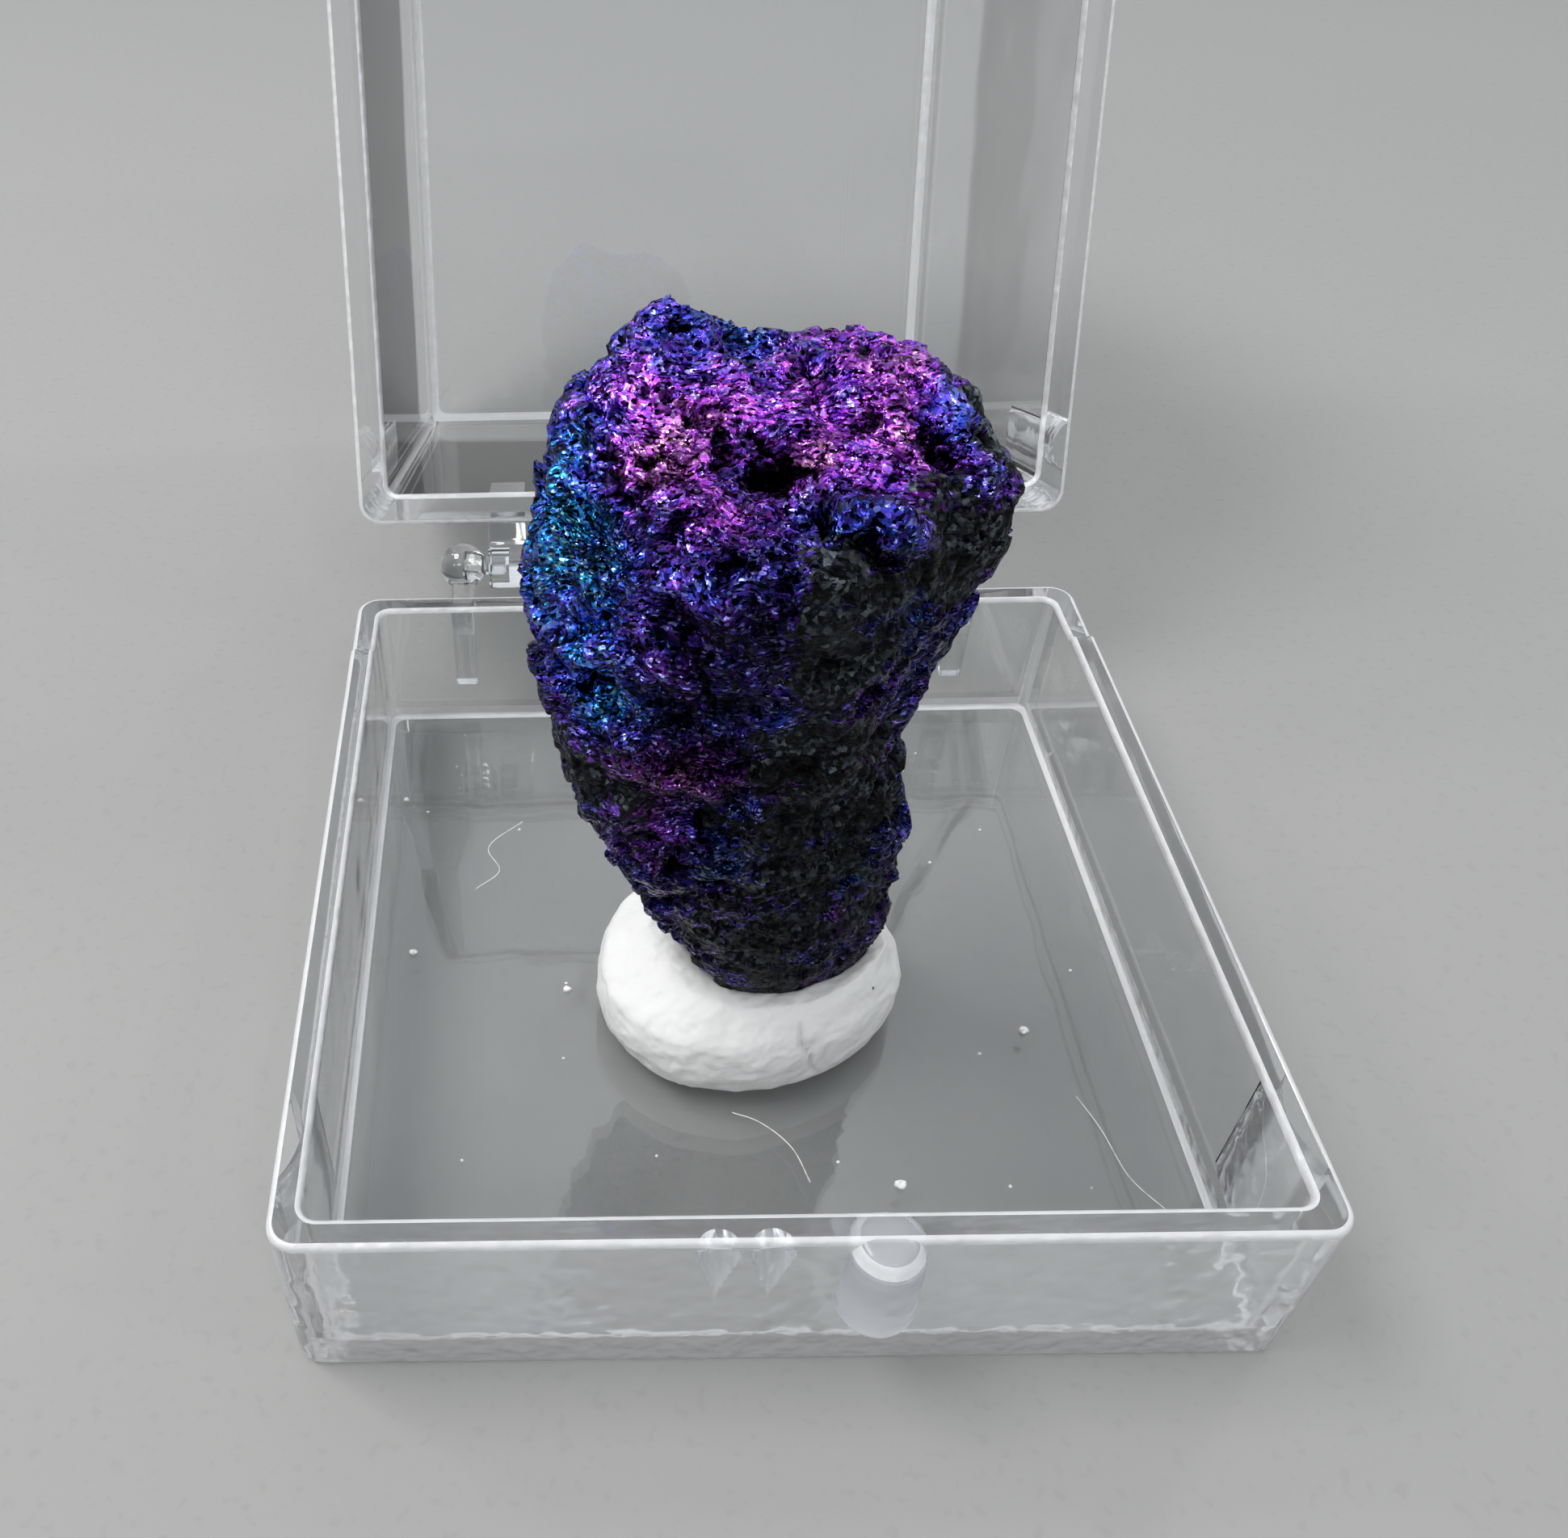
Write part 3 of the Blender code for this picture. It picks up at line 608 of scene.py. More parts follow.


# Where the stone shows which colour. The film's order is that of thin layers: straw, pink, magenta,
# violet, deep blue, blue, cyan, green, olive. fresh is bare grey rock, and paintedLight is painted
# light
# and shade: each region made brighter or darker for how light falls on it. Each broad region is
# (spot, reach, film, fresh, paintedLight), and noise makes all that is finer.
tarnish = {
    "base": (0.52, 0.10, 0.30, 0.30),      # film, fresh, painted light and shade, and the weight of the rest
    "patches": {
        "peak": ((-7, -3, 59), 3.5, 0.52, 0.0, 1.30),
        "leftFace": ((-13, -7, 54), 3.5, 0.57, 0.0, 1.30),
        "leftShelf": ((-14, -9, 51), 2.0, 0.74, 0.0, 1.05),
        "pinkBand": ((-8, -8, 56), 3.0, 0.19, 0.0, 1.30),
        "pinkRim": ((-7, -12, 55), 2.5, 0.26, 0.0, 1.15),
        "dome": ((3, -5, 57), 4.5, 0.36, 0.0, 1.65),
        "hollow": ((-2, -9, 54), 2.0, 0.34, 0.0, 0.40),
        "bluePatch": ((6, -6, 56), 1.8, 0.70, 0.0, 1.50),
        "rightRim": ((5, -10, 55), 2.5, 0.42, 0.0, 1.50),
        "greyCorner": ((10, -5, 55), 2.5, 0.50, 0.9, 0.80),
        "rightFace": ((7, -12, 50), 4.0, 0.52, 0.9, 0.40),
        "rightFaceLow": ((6, -12, 44), 2.5, 0.56, 0.2, 0.22),
        "columnHigh": ((0, -16, 51), 2.0, 0.50, 0.9, 0.55),
        "columnMiddle": ((0, -15, 45), 2.5, 0.50, 1.0, 0.55),
        "columnLow": ((0, -14, 38), 3.0, 0.50, 0.9, 0.52),
        "front": ((-7, -14, 53), 3.0, 0.50, 0.0, 0.85),
        "frontTeal": ((-11, -13, 50), 3.0, 0.67, 0.0, 0.75),
        "frontDark": ((-6, -16, 46), 4.5, 0.54, 0.2, 0.14),
        "leftBlue": ((-14, -11, 44), 3.5, 0.65, 0.0, 1.60),
        "lowMagenta": ((-7, -14, 37), 2.5, 0.34, 0.3, 0.34),
        "leftGrey": ((-13, -11, 34), 3.0, 0.50, 0.7, 0.45),
        "lowViolet": ((-8, -12, 29), 3.0, 0.44, 0.3, 0.42),
        "neck": ((3, -12, 29), 5.5, 0.58, 0.8, 0.26),
        "foot": ((1, -10, 16), 7.0, 0.56, 0.7, 0.28),
        # the back, which the photograph doesn't show
        "backHigh": ((-6, 4, 50), 5.0, 0.60, 0.0, 0.80),
        "backRight": ((4, 4, 47), 4.0, 0.35, 0.0, 0.80),
        "backBlue": ((0, 3, 36), 4.5, 0.68, 0.1, 0.60),
        "backGrey": ((5, 2, 28), 4.0, 0.55, 0.9, 0.40),
        "backFoot": ((-4, 1, 20), 4.0, 0.52, 0.5, 0.40),
    },
    "warp": (2.6, 1.4, (71, 72, 73)),
    # how film, fresh and the painted light and shade drift inside a region: cell, seed and size
    "filmClouds": ((4.5, 74, 0.11), (1.8, 75, 0.08)),
    "freshClouds": ((2.4, 76, 0.22),),
    "paintedLightClouds": ((3.2, 77, 0.20), (1.4, 78, 0.15)),
    # how dark the painted shade in the creases is
    "creaseShade": 2.9,
}


def tarnishValues(points):
    # every patch weighs exp(-(distance / reach)^2) at a warped point; the values are their mean,
    # with the base's own weight
    bent = warped(points, tarnish["warp"])
    film, fresh, paintedLight, weight = tarnish["base"]
    total = np.full(len(points), weight)
    sums = np.array([film, fresh, paintedLight])[:, None] * total
    for spot, reach, film, fresh, paintedLight in tarnish["patches"].values():
        share = np.exp(-np.sum((bent - np.array(spot)) ** 2, axis=1) / reach ** 2) * 2.0
        total += share
        sums += np.array([film, fresh, paintedLight])[:, None] * share
    values = list(sums / total)
    for number, kind in enumerate(("filmClouds", "freshClouds", "paintedLightClouds")):
        for cell, seed, size in tarnish[kind]:
            values[number] = values[number] + smoothNoise(points, cell, seed) * size
    film, fresh, paintedLight = values
    return np.clip(film, 0.0, 1.0), np.clip(fresh, 0.0, 1.0), np.maximum(paintedLight, 0.12)


oreLook = {
    "film": (
        (0.00, (0.95, 0.76, 0.36)),
        (0.10, (0.95, 0.52, 0.50)),
        (0.20, (0.88, 0.34, 0.84)),
        (0.32, (0.62, 0.09, 0.96)),
        (0.43, (0.33, 0.10, 0.98)),
        (0.53, (0.13, 0.10, 0.95)),
        (0.64, (0.05, 0.15, 0.98)),
        (0.74, (0.03, 0.40, 0.95)),
        (0.83, (0.04, 0.50, 0.52)),
        (0.92, (0.24, 0.42, 0.10)),
        (1.00, (0.62, 0.50, 0.16)),
    ),
    "rockDark": (0.0012, 0.0018, 0.0025),
    "rockLight": (0.105, 0.130, 0.145),
    "grainScale": 2100.0,      # cells per metre
    "fineScale": 5600.0,
    "rockScale": 3000.0,
    "streak": (0.58, 1.10, 1.25),
    "streakTurn": (0.2, 0.45, 0.2),
    "grainTilt": 0.52,
    "fineTilt": 0.80,
    "rockTilt": 0.50,
    "filmScatter": 0.13,
    "fineScatter": 0.12,
    "matrixDark": 0.02,        # brightness of the darkest grains
    "roughness": (0.13, 0.36),
    "ridgeScale": 1300.0,
    "ridgeHeight": 0.00034,
    "clusterScale": 620.0,
    "wander": 0.0036,          # metres by which strokes are bent aside
    "wanderScale": 170.0,
    # spreads: a value's low and high, and what they become
    "clusterSpread": (0.36, 0.62, 0.35, 1.30),
    "fineSpread": (0.24, 0.66),
    "grainSpread": (0.10, 0.85, 0.30, 1.15),
    "paintedLightPower": 1.25,
    "rockSpread": (0.25, 1.0),
    "rockPower": 2.8,
    "rockGain": 1.6,
    "rockMetal": 0.20,
    "rockRough": 0.20,
    "freshScatter": 0.30,
    "freshEdge": (0.44, 0.52),
    # painted glints: pale grains that stand in for highlights
    "paintedGlintEdge": (0.81, 0.84),
    "paintedGlintOnRock": (0.85, 0.06),
    "paintedGlintGlow": (0.15, 0.8, 0.30, 1.0),
    "paintedGlintShare": 0.26,
    "paintedGlintColour": (0.96, 0.93, 0.92),
    "specular": 0.12,
    "ridgeStrength": 0.8,
}


def makeOreMaterial(setting):
    # each grain has a film colour and a facing of its own
    material, tree, shader = startMaterial("tarnishedOre")
    place = addNode(tree, "TexCoord").outputs["Object"]
    wander = addNode(tree, "TexNoise", {
        "Vector": place, "Scale": setting["wanderScale"], "Detail": 1.0,
    })
    flow = addNode(tree, "Mapping", {
        "Vector": pushBy(tree, place, wander, setting["wander"]),
        "Scale": setting["streak"], "Rotation": setting["streakTurn"],
    }).outputs[0]
    grain, fine, speckle = (
        addNode(tree, "TexVoronoi", {"Vector": vector, "Scale": setting[key]})
        for vector, key in ((flow, "grainScale"), (flow, "fineScale"), (place, "rockScale"))
    )
    grainRandom, fineRandom, speckleRandom = (
        addNode(tree, "SeparateColor", {"Color": cells.outputs["Color"]}).outputs
        for cells in (grain, fine, speckle)
    )

    names = ("film", "fresh", "paintedLight", "crease")
    film, fresh, paintedLight, crease = (readAttribute(tree, name) for name in names)
    scatter = mathNode(tree, "SUBTRACT", grainRandom[0], 0.5)
    fineScatter = mathNode(tree, "SUBTRACT", fineRandom[1], 0.5)
    film = mathNode(tree, "ADD", film, product(tree, scatter, setting["filmScatter"]))
    fineScatter = product(tree, fineScatter, setting["fineScatter"])
    film = mathNode(tree, "ADD", film, fineScatter, clamp=True)
    filmColour = colourRamp(tree, film, setting["film"])

    # dark matrix between the bright grains, clusters of both, painted shade in creases and holes, and
    # each region's painted light and shade
    cluster = addNode(tree, "TexNoise", {
        "Vector": flow, "Scale": setting["clusterScale"], "Detail": 2.0,
    })
    cluster = spread(tree, cluster.outputs["Fac"], *setting["clusterSpread"])
    level = product(
        tree,
        spread(tree, fineRandom[0], *setting["fineSpread"], setting["matrixDark"], 1.0),
        spread(tree, grainRandom[2], *setting["grainSpread"]),
        crease, cluster, mathNode(tree, "POWER", paintedLight, setting["paintedLightPower"]),
    )
    colour = mixColour(tree, 1.0, filmColour, level, "MULTIPLY")

    # bare grey rock with a few lighter grains
    light = spread(tree, speckleRandom[2], *setting["rockSpread"])
    light = mathNode(tree, "POWER", light, setting["rockPower"])
    rock = mixColour(tree, light, setting["rockDark"], setting["rockLight"])
    # the rock is darkened by the same painted shade in creases and painted light and shade per region
    rockLevel = product(tree, crease, setting["rockGain"], paintedLight, cluster)
    rock = mixColour(tree, 1.0, rock, rockLevel, "MULTIPLY")
    freshMask = mathNode(tree, "ADD", fresh, product(tree, scatter, setting["freshScatter"]))
    freshMask = spread(tree, freshMask, *setting["freshEdge"])
    colour = mixColour(tree, freshMask, colour, rock)

    # painted glints: a few pale grains on the crests, bright also where the rest is dark
    paintedGlint = product(
        tree,
        spread(tree, fineRandom[1], *setting["paintedGlintEdge"]),
        crease, crease,
        spread(tree, freshMask, 0.0, 1.0, *setting["paintedGlintOnRock"]),
        spread(tree, paintedLight, *setting["paintedGlintGlow"]),
        cluster, clamp=True,
    )
    paintedGlintColour = mixColour(tree, setting["paintedGlintShare"], filmColour, setting["paintedGlintColour"])
    colour = mixColour(tree, paintedGlint, colour, paintedGlintColour)
    tree.links.new(colour, shader.inputs["Base Color"])

    metal = spread(tree, freshMask, 0.0, 1.0, 1.0, setting["rockMetal"])
    tree.links.new(metal, shader.inputs["Metallic"])
    rough = spread(tree, fineRandom[2], 0.0, 1.0, *setting["roughness"])
    rough = mathNode(tree, "ADD", rough, product(tree, freshMask, setting["rockRough"]))
    tree.links.new(rough, shader.inputs["Roughness"])
    shader.inputs["Specular IOR Level"].default_value = setting["specular"]

    # small ridges, and then every grain faces its own way
    ridge = addNode(tree, "TexNoise", {
        "Vector": flow, "Scale": setting["ridgeScale"], "Detail": 3.0, "Roughness": 0.62,
    }, noise_type="RIDGED_MULTIFRACTAL")
    normal = addNode(tree, "Bump", {
        "Height": ridge.outputs["Fac"],
        "Strength": setting["ridgeStrength"], "Distance": setting["ridgeHeight"],
    }).outputs["Normal"]
    for cells, key in ((grain, "grainTilt"), (fine, "fineTilt"), (speckle, "rockTilt")):
        normal = pushBy(tree, normal, cells, setting[key])
    normal = addNode(tree, "VectorMath", {0: normal}, operation="NORMALIZE").outputs[0]
    tree.links.new(normal, shader.inputs["Normal"])
    return material


def holeDepth(points, normals):
    # holes are Gaussian dents round points that are drawn at random from those that face upwards
    holes = stone["holes"]
    rng = np.random.default_rng(holes["seed"])
    onTop = points[(points[:, 2] > holes["above"]) & (normals[:, 2] > holes["facing"])]
    depth = np.zeros(len(points))
    for spot in onTop[rng.integers(0, len(onTop), holes["count"])]:
        widths = np.append(rng.uniform(*holes["width"], 2), holes["height"])
        away = np.sum(((points - spot) / widths) ** 2, axis=1)
        depth += rng.uniform(*holes["depth"]) * np.exp(-away)
    return depth


def makeStone():
    directions, quads = cubeNet(stone["count"], stone["stretch"])
    points, fade = stoneSurface(directions)
    print("stone: form found for", len(points), "points")
    base = points.copy()
    normals = pointNormals(points, quads)
    centre = np.array(stone["centre"])
    if np.sum(normals * (points - centre)) < 0:
        normals = -normals
    depth = holeDepth(base, normals)
    # film and fresh are tarnish and bare rock; the third value is painted light and shade per region
    film, fresh, paintedLight = tarnishValues(base)
    rise = strokeRidges(base)
    for cell, seed, tilt, step in stone["grains"]:
        rise += brokenGrains(base, cell, seed, tilt, step)
    rise = np.clip(rise, -0.7, 0.5) * (1 - stone["rockCalm"] * fresh)
    points = base + normals * (rise * fade - depth)[:, None]
    piece = makePiece("peacock_ore_stone", points, [quads], [makeOreMaterial(oreLook)])
    # painted shade: creases, where the relief lies below its own mean, are darkened and holes painted
    # black
    sunkShade = np.clip(-rise, 0.0, 1.0) * tarnish["creaseShade"]
    crease = np.clip(1.0 - sunkShade - depth * 1.6, 0.02, 1.0)
    for name, values in (("film", film), ("fresh", fresh), ("paintedLight", paintedLight), ("crease", crease)):
        setAttribute(piece, name, values)
    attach(piece, "base")
    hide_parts("peacock_ore")


makeStone()
print("stone made")

# Putty: rings round the stone's foot, from the underside over the bulge and down into the dent
putty = {
    "centre": (-0.2, -3.9),
    "radii": (11.7, 10.4),
    "middle": (0.6, -4.7),
    "crest": 9.9,
    "floor": 2.06,
    "around": 220,
    "along": 110,
    "press": 0.35,             # how far the collar reaches into the stone
    # the body's rings: share of the outline, and height over the floor
    "rings": (
        (0.05, 0.0), (0.5, 0.0), (0.84, 0.0), (0.90, 0.12), (0.96, 0.9), (0.993, 2.1), (1.0, 3.3),
        (0.98, 4.8), (0.93, 6.0),
    ),
    "wrinkle": 0.15,
    # furrows down the front: place across, slope, width, depth, foot and head
    "furrows": (
        (3.0, 0.35, 0.16, 0.34, 3.0, 9.3),
        (4.6, 0.20, 0.22, 0.16, 3.0, 7.0),
    ),
    "colour": (0.68, 0.68, 0.67),
    "shadow": (0.55, 0.55, 0.58),
    "stain": (0.62, 0.60, 0.55),
    "speck": (0.10, 0.10, 0.11),
    "speckScale": 330.0,
    "marks": (900.0, 1400.0, 0.66),
    "roughness": 0.62,
    "bump": (0.8, 0.00025),
}


def stoneReach(angles, height):
    # how far the stone reaches from the putty's middle at a height, found by halving
    middle = np.array(putty["middle"])
    spokes = np.stack([np.cos(angles), np.sin(angles)], axis=1)
    low = np.zeros(len(angles))
    high = np.full(len(angles), 20.0)
    for _ in range(24):
        radius = (low + high) / 2
        flat = middle + spokes * radius[:, None]
        outside = stoneField(np.column_stack([flat, np.full(len(angles), height)])) > 0
        high = np.where(outside, radius, high)
        low = np.where(outside, low, radius)
    return middle, spokes, low


def smoothRows(rows, count):
    # a Catmull-Rom curve through the rows, read at even steps
    rows = np.concatenate([rows[:1] * 2 - rows[1:2], rows, rows[-1:] * 2 - rows[-2:-1]])
    steps = np.linspace(0.0, len(rows) - 3 - 1e-9, count)
    start = np.floor(steps).astype(int)
    t = (steps - start)[:, None, None]
    a, b, c, d = (rows[start + k] for k in range(4))
    square = 2 * a - 5 * b + 4 * c - d
    cube = 3 * b - a - 3 * c + d
    return 0.5 * (2 * b + (c - a) * t + square * t ** 2 + cube * t ** 3)


def makePutty():
    angles = np.linspace(0.0, 2 * math.pi, putty["around"], endpoint=False)
    centre = np.array(putty["centre"])
    wobble = 1 + 0.03 * np.sin(2 * angles + 0.6) + 0.02 * np.sin(3 * angles + 2.0)
    wide, long = putty["radii"]
    outline = np.stack([np.cos(angles) * wide, np.sin(angles) * long], axis=1)
    outline = centre + outline * wobble[:, None]
    floorZ, crestZ = putty["floor"], putty["crest"]
    footZ = stone["levels"][0][0]
    middle, spokes, foot = stoneReach(angles, footZ + 2.5)
    _, _, collar = stoneReach(angles, crestZ - 0.6)
    edge = middle + spokes * (collar + 0.9)[:, None]
    rings = []
    for lean, z in putty["rings"]:
        rings.append((centre + (outline - centre) * lean, floorZ + z))
    shoulder = rings[-1][0]
    for share, z in ((0.45, crestZ - 0.25), (0.15, crestZ)):
        rings.append((edge + (shoulder - edge) * share, z))
    rings.append((middle + spokes * (collar - putty["press"] * 0.3)[:, None], crestZ - 0.45))
    rings.append((middle + spokes * (foot - putty["press"])[:, None], footZ + 1.4))
    rings.append((middle + spokes * (foot * 0.6)[:, None], footZ + 0.2))
    rings.append((middle + spokes * (foot * 0.05)[:, None], footZ + 0.1))
    rows = np.stack([np.column_stack([flat, np.full(len(angles), z)]) for flat, z in rings])
    rows = smoothRows(rows, putty["along"])
    points = rows.reshape(-1, 3)
    faces = netFaces(putty["along"], putty["around"])
    normals = pointNormals(points, faces)
    if np.sum(normals * (points - points.mean(axis=0))) < 0:
        normals = -normals
    # wrinkles: noise stretched along a slanting direction, finer over coarser, and a pressed crease
    slant = points @ np.array([[0.55, 0.35, 0.20], [-0.45, 0.60, 0.15], [-0.25, 0.10, 0.9]]).T
    stretched = slant * np.array([0.55, 1.9, 1.0])
    fine = smoothNoise(stretched, 0.55, 81) * 0.45 + smoothNoise(stretched, 1.2, 82) * 0.7
    broad = smoothNoise(points, 3.2, 83) * 1.2
    shown = np.clip((points[:, 2] - floorZ) / 0.8, 0.0, 1.0)
    lift = putty["wrinkle"] * (fine + broad) * shown
    crease = creaseDepth(points)
    points = points + normals * (lift - crease)[:, None]
    points[:, 2] = np.maximum(points[:, 2], floorZ)
    material = makePuttyMaterial(putty)
    groups = [faces, endCaps(putty["along"], putty["around"])]
    piece = makePiece("putty_lump", points, groups, [material])
    setAttribute(piece, "crease", np.clip(crease * 2.2, 0.0, 1.0))
    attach(piece, "base")
    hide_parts("putty")


def creaseDepth(points):
    # each furrow is a Gaussian across a slanting, slightly wavy line, faded at both ends
    x, y, z = points.T
    front = np.clip((-y - 6.0) / 3.0, 0.0, 1.0)
    depth = np.zeros(len(points))
    for placeX, slope, width, deep, low, high in putty["furrows"]:
        away = x - placeX - slope * (8.0 - z) - 0.12 * np.sin(z * 2.3)
        ends = np.clip((z - low) / 1.2, 0.0, 1.0) * np.clip((high - z) / 1.0, 0.0, 1.0)
        depth += deep * np.exp(-(away / width) ** 2) * ends * front
    return depth


def makePuttyMaterial(setting):
    material, tree, shader = startMaterial("whitePutty")
    height, marks = placeMarks(tree, *setting["marks"])
    crease = readAttribute(tree, "crease")
    colour = mixColour(tree, crease, setting["colour"], setting["shadow"])
    colour = mixColour(tree, product(tree, marks, 0.12), colour, setting["stain"])
    # dark specks in about one cell of four
    place = addNode(tree, "TexCoord").outputs["Object"]
    cells = addNode(tree, "TexVoronoi", {"Vector": place, "Scale": setting["speckScale"]})
    dot = spread(tree, cells.outputs["Distance"], 0.045, 0.06, 1.0, 0.0)
    picked = addNode(tree, "SeparateColor", {"Color": cells.outputs["Color"]}).outputs[0]
    dot = product(tree, dot, spread(tree, picked, 0.74, 0.76))
    colour = mixColour(tree, dot, colour, setting["speck"])
    tree.links.new(colour, shader.inputs["Base Color"])
    shader.inputs["Roughness"].default_value = setting["roughness"]
    strength, distance = setting["bump"]
    bump = addNode(tree, "Bump", {"Height": height, "Strength": strength, "Distance": distance})
    tree.links.new(bump.outputs["Normal"], shader.inputs["Normal"])
    return material


makePutty()
print("putty made")

# Clear plastic. Colour, tint of the light that lamps send through, roughness on faces and on edges,
# share that is clear, wave and marks of the surface, and the height of its bump in metres
plasticIor = 1.59
plastic = {
    "tray": {
        "colour": (0.91, 0.92, 0.925), "shadow": (0.30, 0.305, 0.315),
        "rough": (0.012, 0.20), "clear": 1.0, "marks": (120.0, 1900.0, 0.60), "bump": 0.00007,
    },
    "lid": {
        "colour": (0.955, 0.965, 0.975), "shadow": (0.30, 0.305, 0.315),
        "rough": (0.012, 0.18), "clear": 1.0, "marks": (70.0, 1500.0, 0.64), "bump": 0.00003,
    },
    # worn and rounded edges scatter light and are whitened: partly wear, partly a painted highlight
    "edges": {
        "colour": (0.98, 0.985, 1.0), "shadow": (0.30, 0.305, 0.315),
        "rough": (0.10, 0.32), "clear": 0.55, "marks": (700.0, 2600.0, 0.5), "bump": 0.00030,
    },
    # the front wall, the corners, the flutes and the scoops are milky: partly rubbed, partly a
    # painted sheen of reflected light
    "rubbedAndSheen": {
        "colour": (0.95, 0.96, 0.98), "shadow": (0.30, 0.305, 0.315),
        "rough": (0.03, 0.30), "clear": 0.68, "marks": (420.0, 2200.0, 0.5), "bump": 0.00026,
    },
    "frosted": {
        "colour": (0.88, 0.895, 0.915), "shadow": (0.30, 0.305, 0.32),
        "rough": (0.26, 0.36), "clear": 0.88, "marks": (500.0, 2600.0, 0.5), "bump": 0.00040,
    },
}


def makePlastic(name, setting):
    # clear polystyrene: polished faces, softer edges and mould marks. Lamps shine through it.
    material, tree, shader = startMaterial(name)
    shader.inputs["Base Color"].default_value = (*setting["colour"], 1.0)
    shader.inputs["Transmission Weight"].default_value = setting["clear"]
    shader.inputs["IOR"].default_value = plasticIor
    height, marks = placeMarks(tree, *setting["marks"])
    low, high = setting["rough"]
    rough = spread(tree, marks, 0.0, 1.0, low, low + (high - low) * 0.4)
    edge = spread(tree, readAttribute(tree, "edge"), 0.0, 1.0, low, high)
    rough = mathNode(tree, "MAXIMUM", rough, edge)
    tree.links.new(rough, shader.inputs["Roughness"])
    bump = addNode(tree, "Bump", {"Height": height, "Strength": 1.0, "Distance": setting["bump"]})
    tree.links.new(bump.outputs["Normal"], shader.inputs["Normal"])
    clear = addNode(tree, "BsdfTransparent", {"Color": (*setting["shadow"], 1.0)})
    ray = addNode(tree, "LightPath").outputs["Is Shadow Ray"]
    mix = addNode(tree, "MixShader", {0: ray, 1: shader.outputs[0], 2: clear.outputs[0]})
    tree.links.new(mix.outputs[0], tree.nodes["Material Output"].inputs["Surface"])
    return material


trayPlastic = makePlastic("clearTray", plastic["tray"])
lidPlastic = makePlastic("clearLid", plastic["lid"])
edgePlastic = makePlastic("wornAndHighlightEdge", plastic["edges"])
rubbedAndSheenPlastic = makePlastic("rubbedAndSheenWall", plastic["rubbedAndSheen"])
frostedPlastic = makePlastic("frostedPost", plastic["frosted"])

# Box: both halves are a profile carried round a square with round corners
box = {
    "half": 33.0,
    "corner": 2.0,
    "cornerSteps": 12,
    "sideSteps": 26,
    # height of the outside's foot band, partly worn and partly given a painted highlight
    "rubbedAndSheenFoot": 2.4,
    "lead": 0.1,               # the flat bit beside each round edge
    "sharp": 32,               # degrees past which an edge isn't shaded smooth
}


def pathStations(sides):
    # sides: for +X, +Y, -X and -Y in turn, the places along that side in its own direction of travel
    turn, along, bend = [], [], []
    reach = box["half"] - box["corner"]
    for side, places in enumerate(sides):
        even = np.linspace(-reach, reach, box["sideSteps"])
        places = np.unique(np.round(np.concatenate([even, places]), 3))
        arc = np.linspace(0.0, math.pi / 2, box["cornerSteps"] + 1)[1:-1]
        turn.append(np.full(len(places) + len(arc), side))
        along.append(np.concatenate([places, np.full(len(arc), reach)]))
        bend.append(np.concatenate([np.zeros(len(places)), arc]))
    return np.concatenate(turn), np.concatenate(along), np.concatenate(bend)


def carryProfile(stations, profile, dent, drop):
    # profile rows are (half width, height, corner radius, edge). A point is half - r + r cos(bend)
    # across its side and along (half - r) / reach + r sin(bend) along it, turned by its side's
    # quarter turns. dent moves outer points inwards, and drop lowers the rim. rubbedAndSheen is true
    # in the dents and round the outside's corners, which are partly rubbed and partly a painted
    # sheen.
    turn, along, bend = stations
    reach = box["half"] - box["corner"]
    rows, rubbedAndSheen = [], []
    for half, height, radius, _, outer in profile:
        across = half - radius + radius * np.cos(bend)
        beside = along / reach * (half - radius) + radius * np.sin(bend)
        found = dent(turn, along, bend, height) if outer else np.zeros(len(turn))
        across = across - found
        rubbedAndSheen.append((found > 0.02) | (outer & (bend > 0)))
        cosine, sine = np.cos(turn * math.pi / 2), np.sin(turn * math.pi / 2)
        x = across * cosine - beside * sine
        y = across * sine + beside * cosine
        rows.append(np.column_stack([x, y, height - drop(y, height)]))
    points = np.concatenate(rows)
    edge = np.repeat([row[3] for row in profile], len(turn))
    faces = [netFaces(len(profile), len(turn)), endCaps(len(profile), len(turn))]
    return points, faces, edge, np.concatenate(rubbedAndSheen)


def bow(away, chord, depth):
    # depth of a round scoop of that chord, at a distance from its middle
    radius = ((chord / 2) ** 2 + depth ** 2) / (2 * depth)
    inside = np.abs(away) < chord / 2
    return np.where(inside, np.sqrt(np.maximum(radius ** 2 - away ** 2, 0.0)) - radius + depth, 0.0)


def sideScoops(scoop, turn, along, bend, height):
    # how deep the finger scoops in both side walls are at a height
    dent = np.zeros(len(turn))
    if scoop["low"] < height < scoop["high"]:
        for side, sign in ((0, 1), (2, -1)):
            found = bow(sign * along - scoop["y"], scoop["chord"], scoop["depth"])
            dent = np.where((turn == side) & (bend == 0), found, dent)
    return dent


def scoopColumns(scoop, count):
    # the places along a side wall where the net needs columns for its scoop
    reach = scoop["chord"] / 2 + 0.02
    return np.linspace(scoop["y"] - reach, scoop["y"] + reach, count)


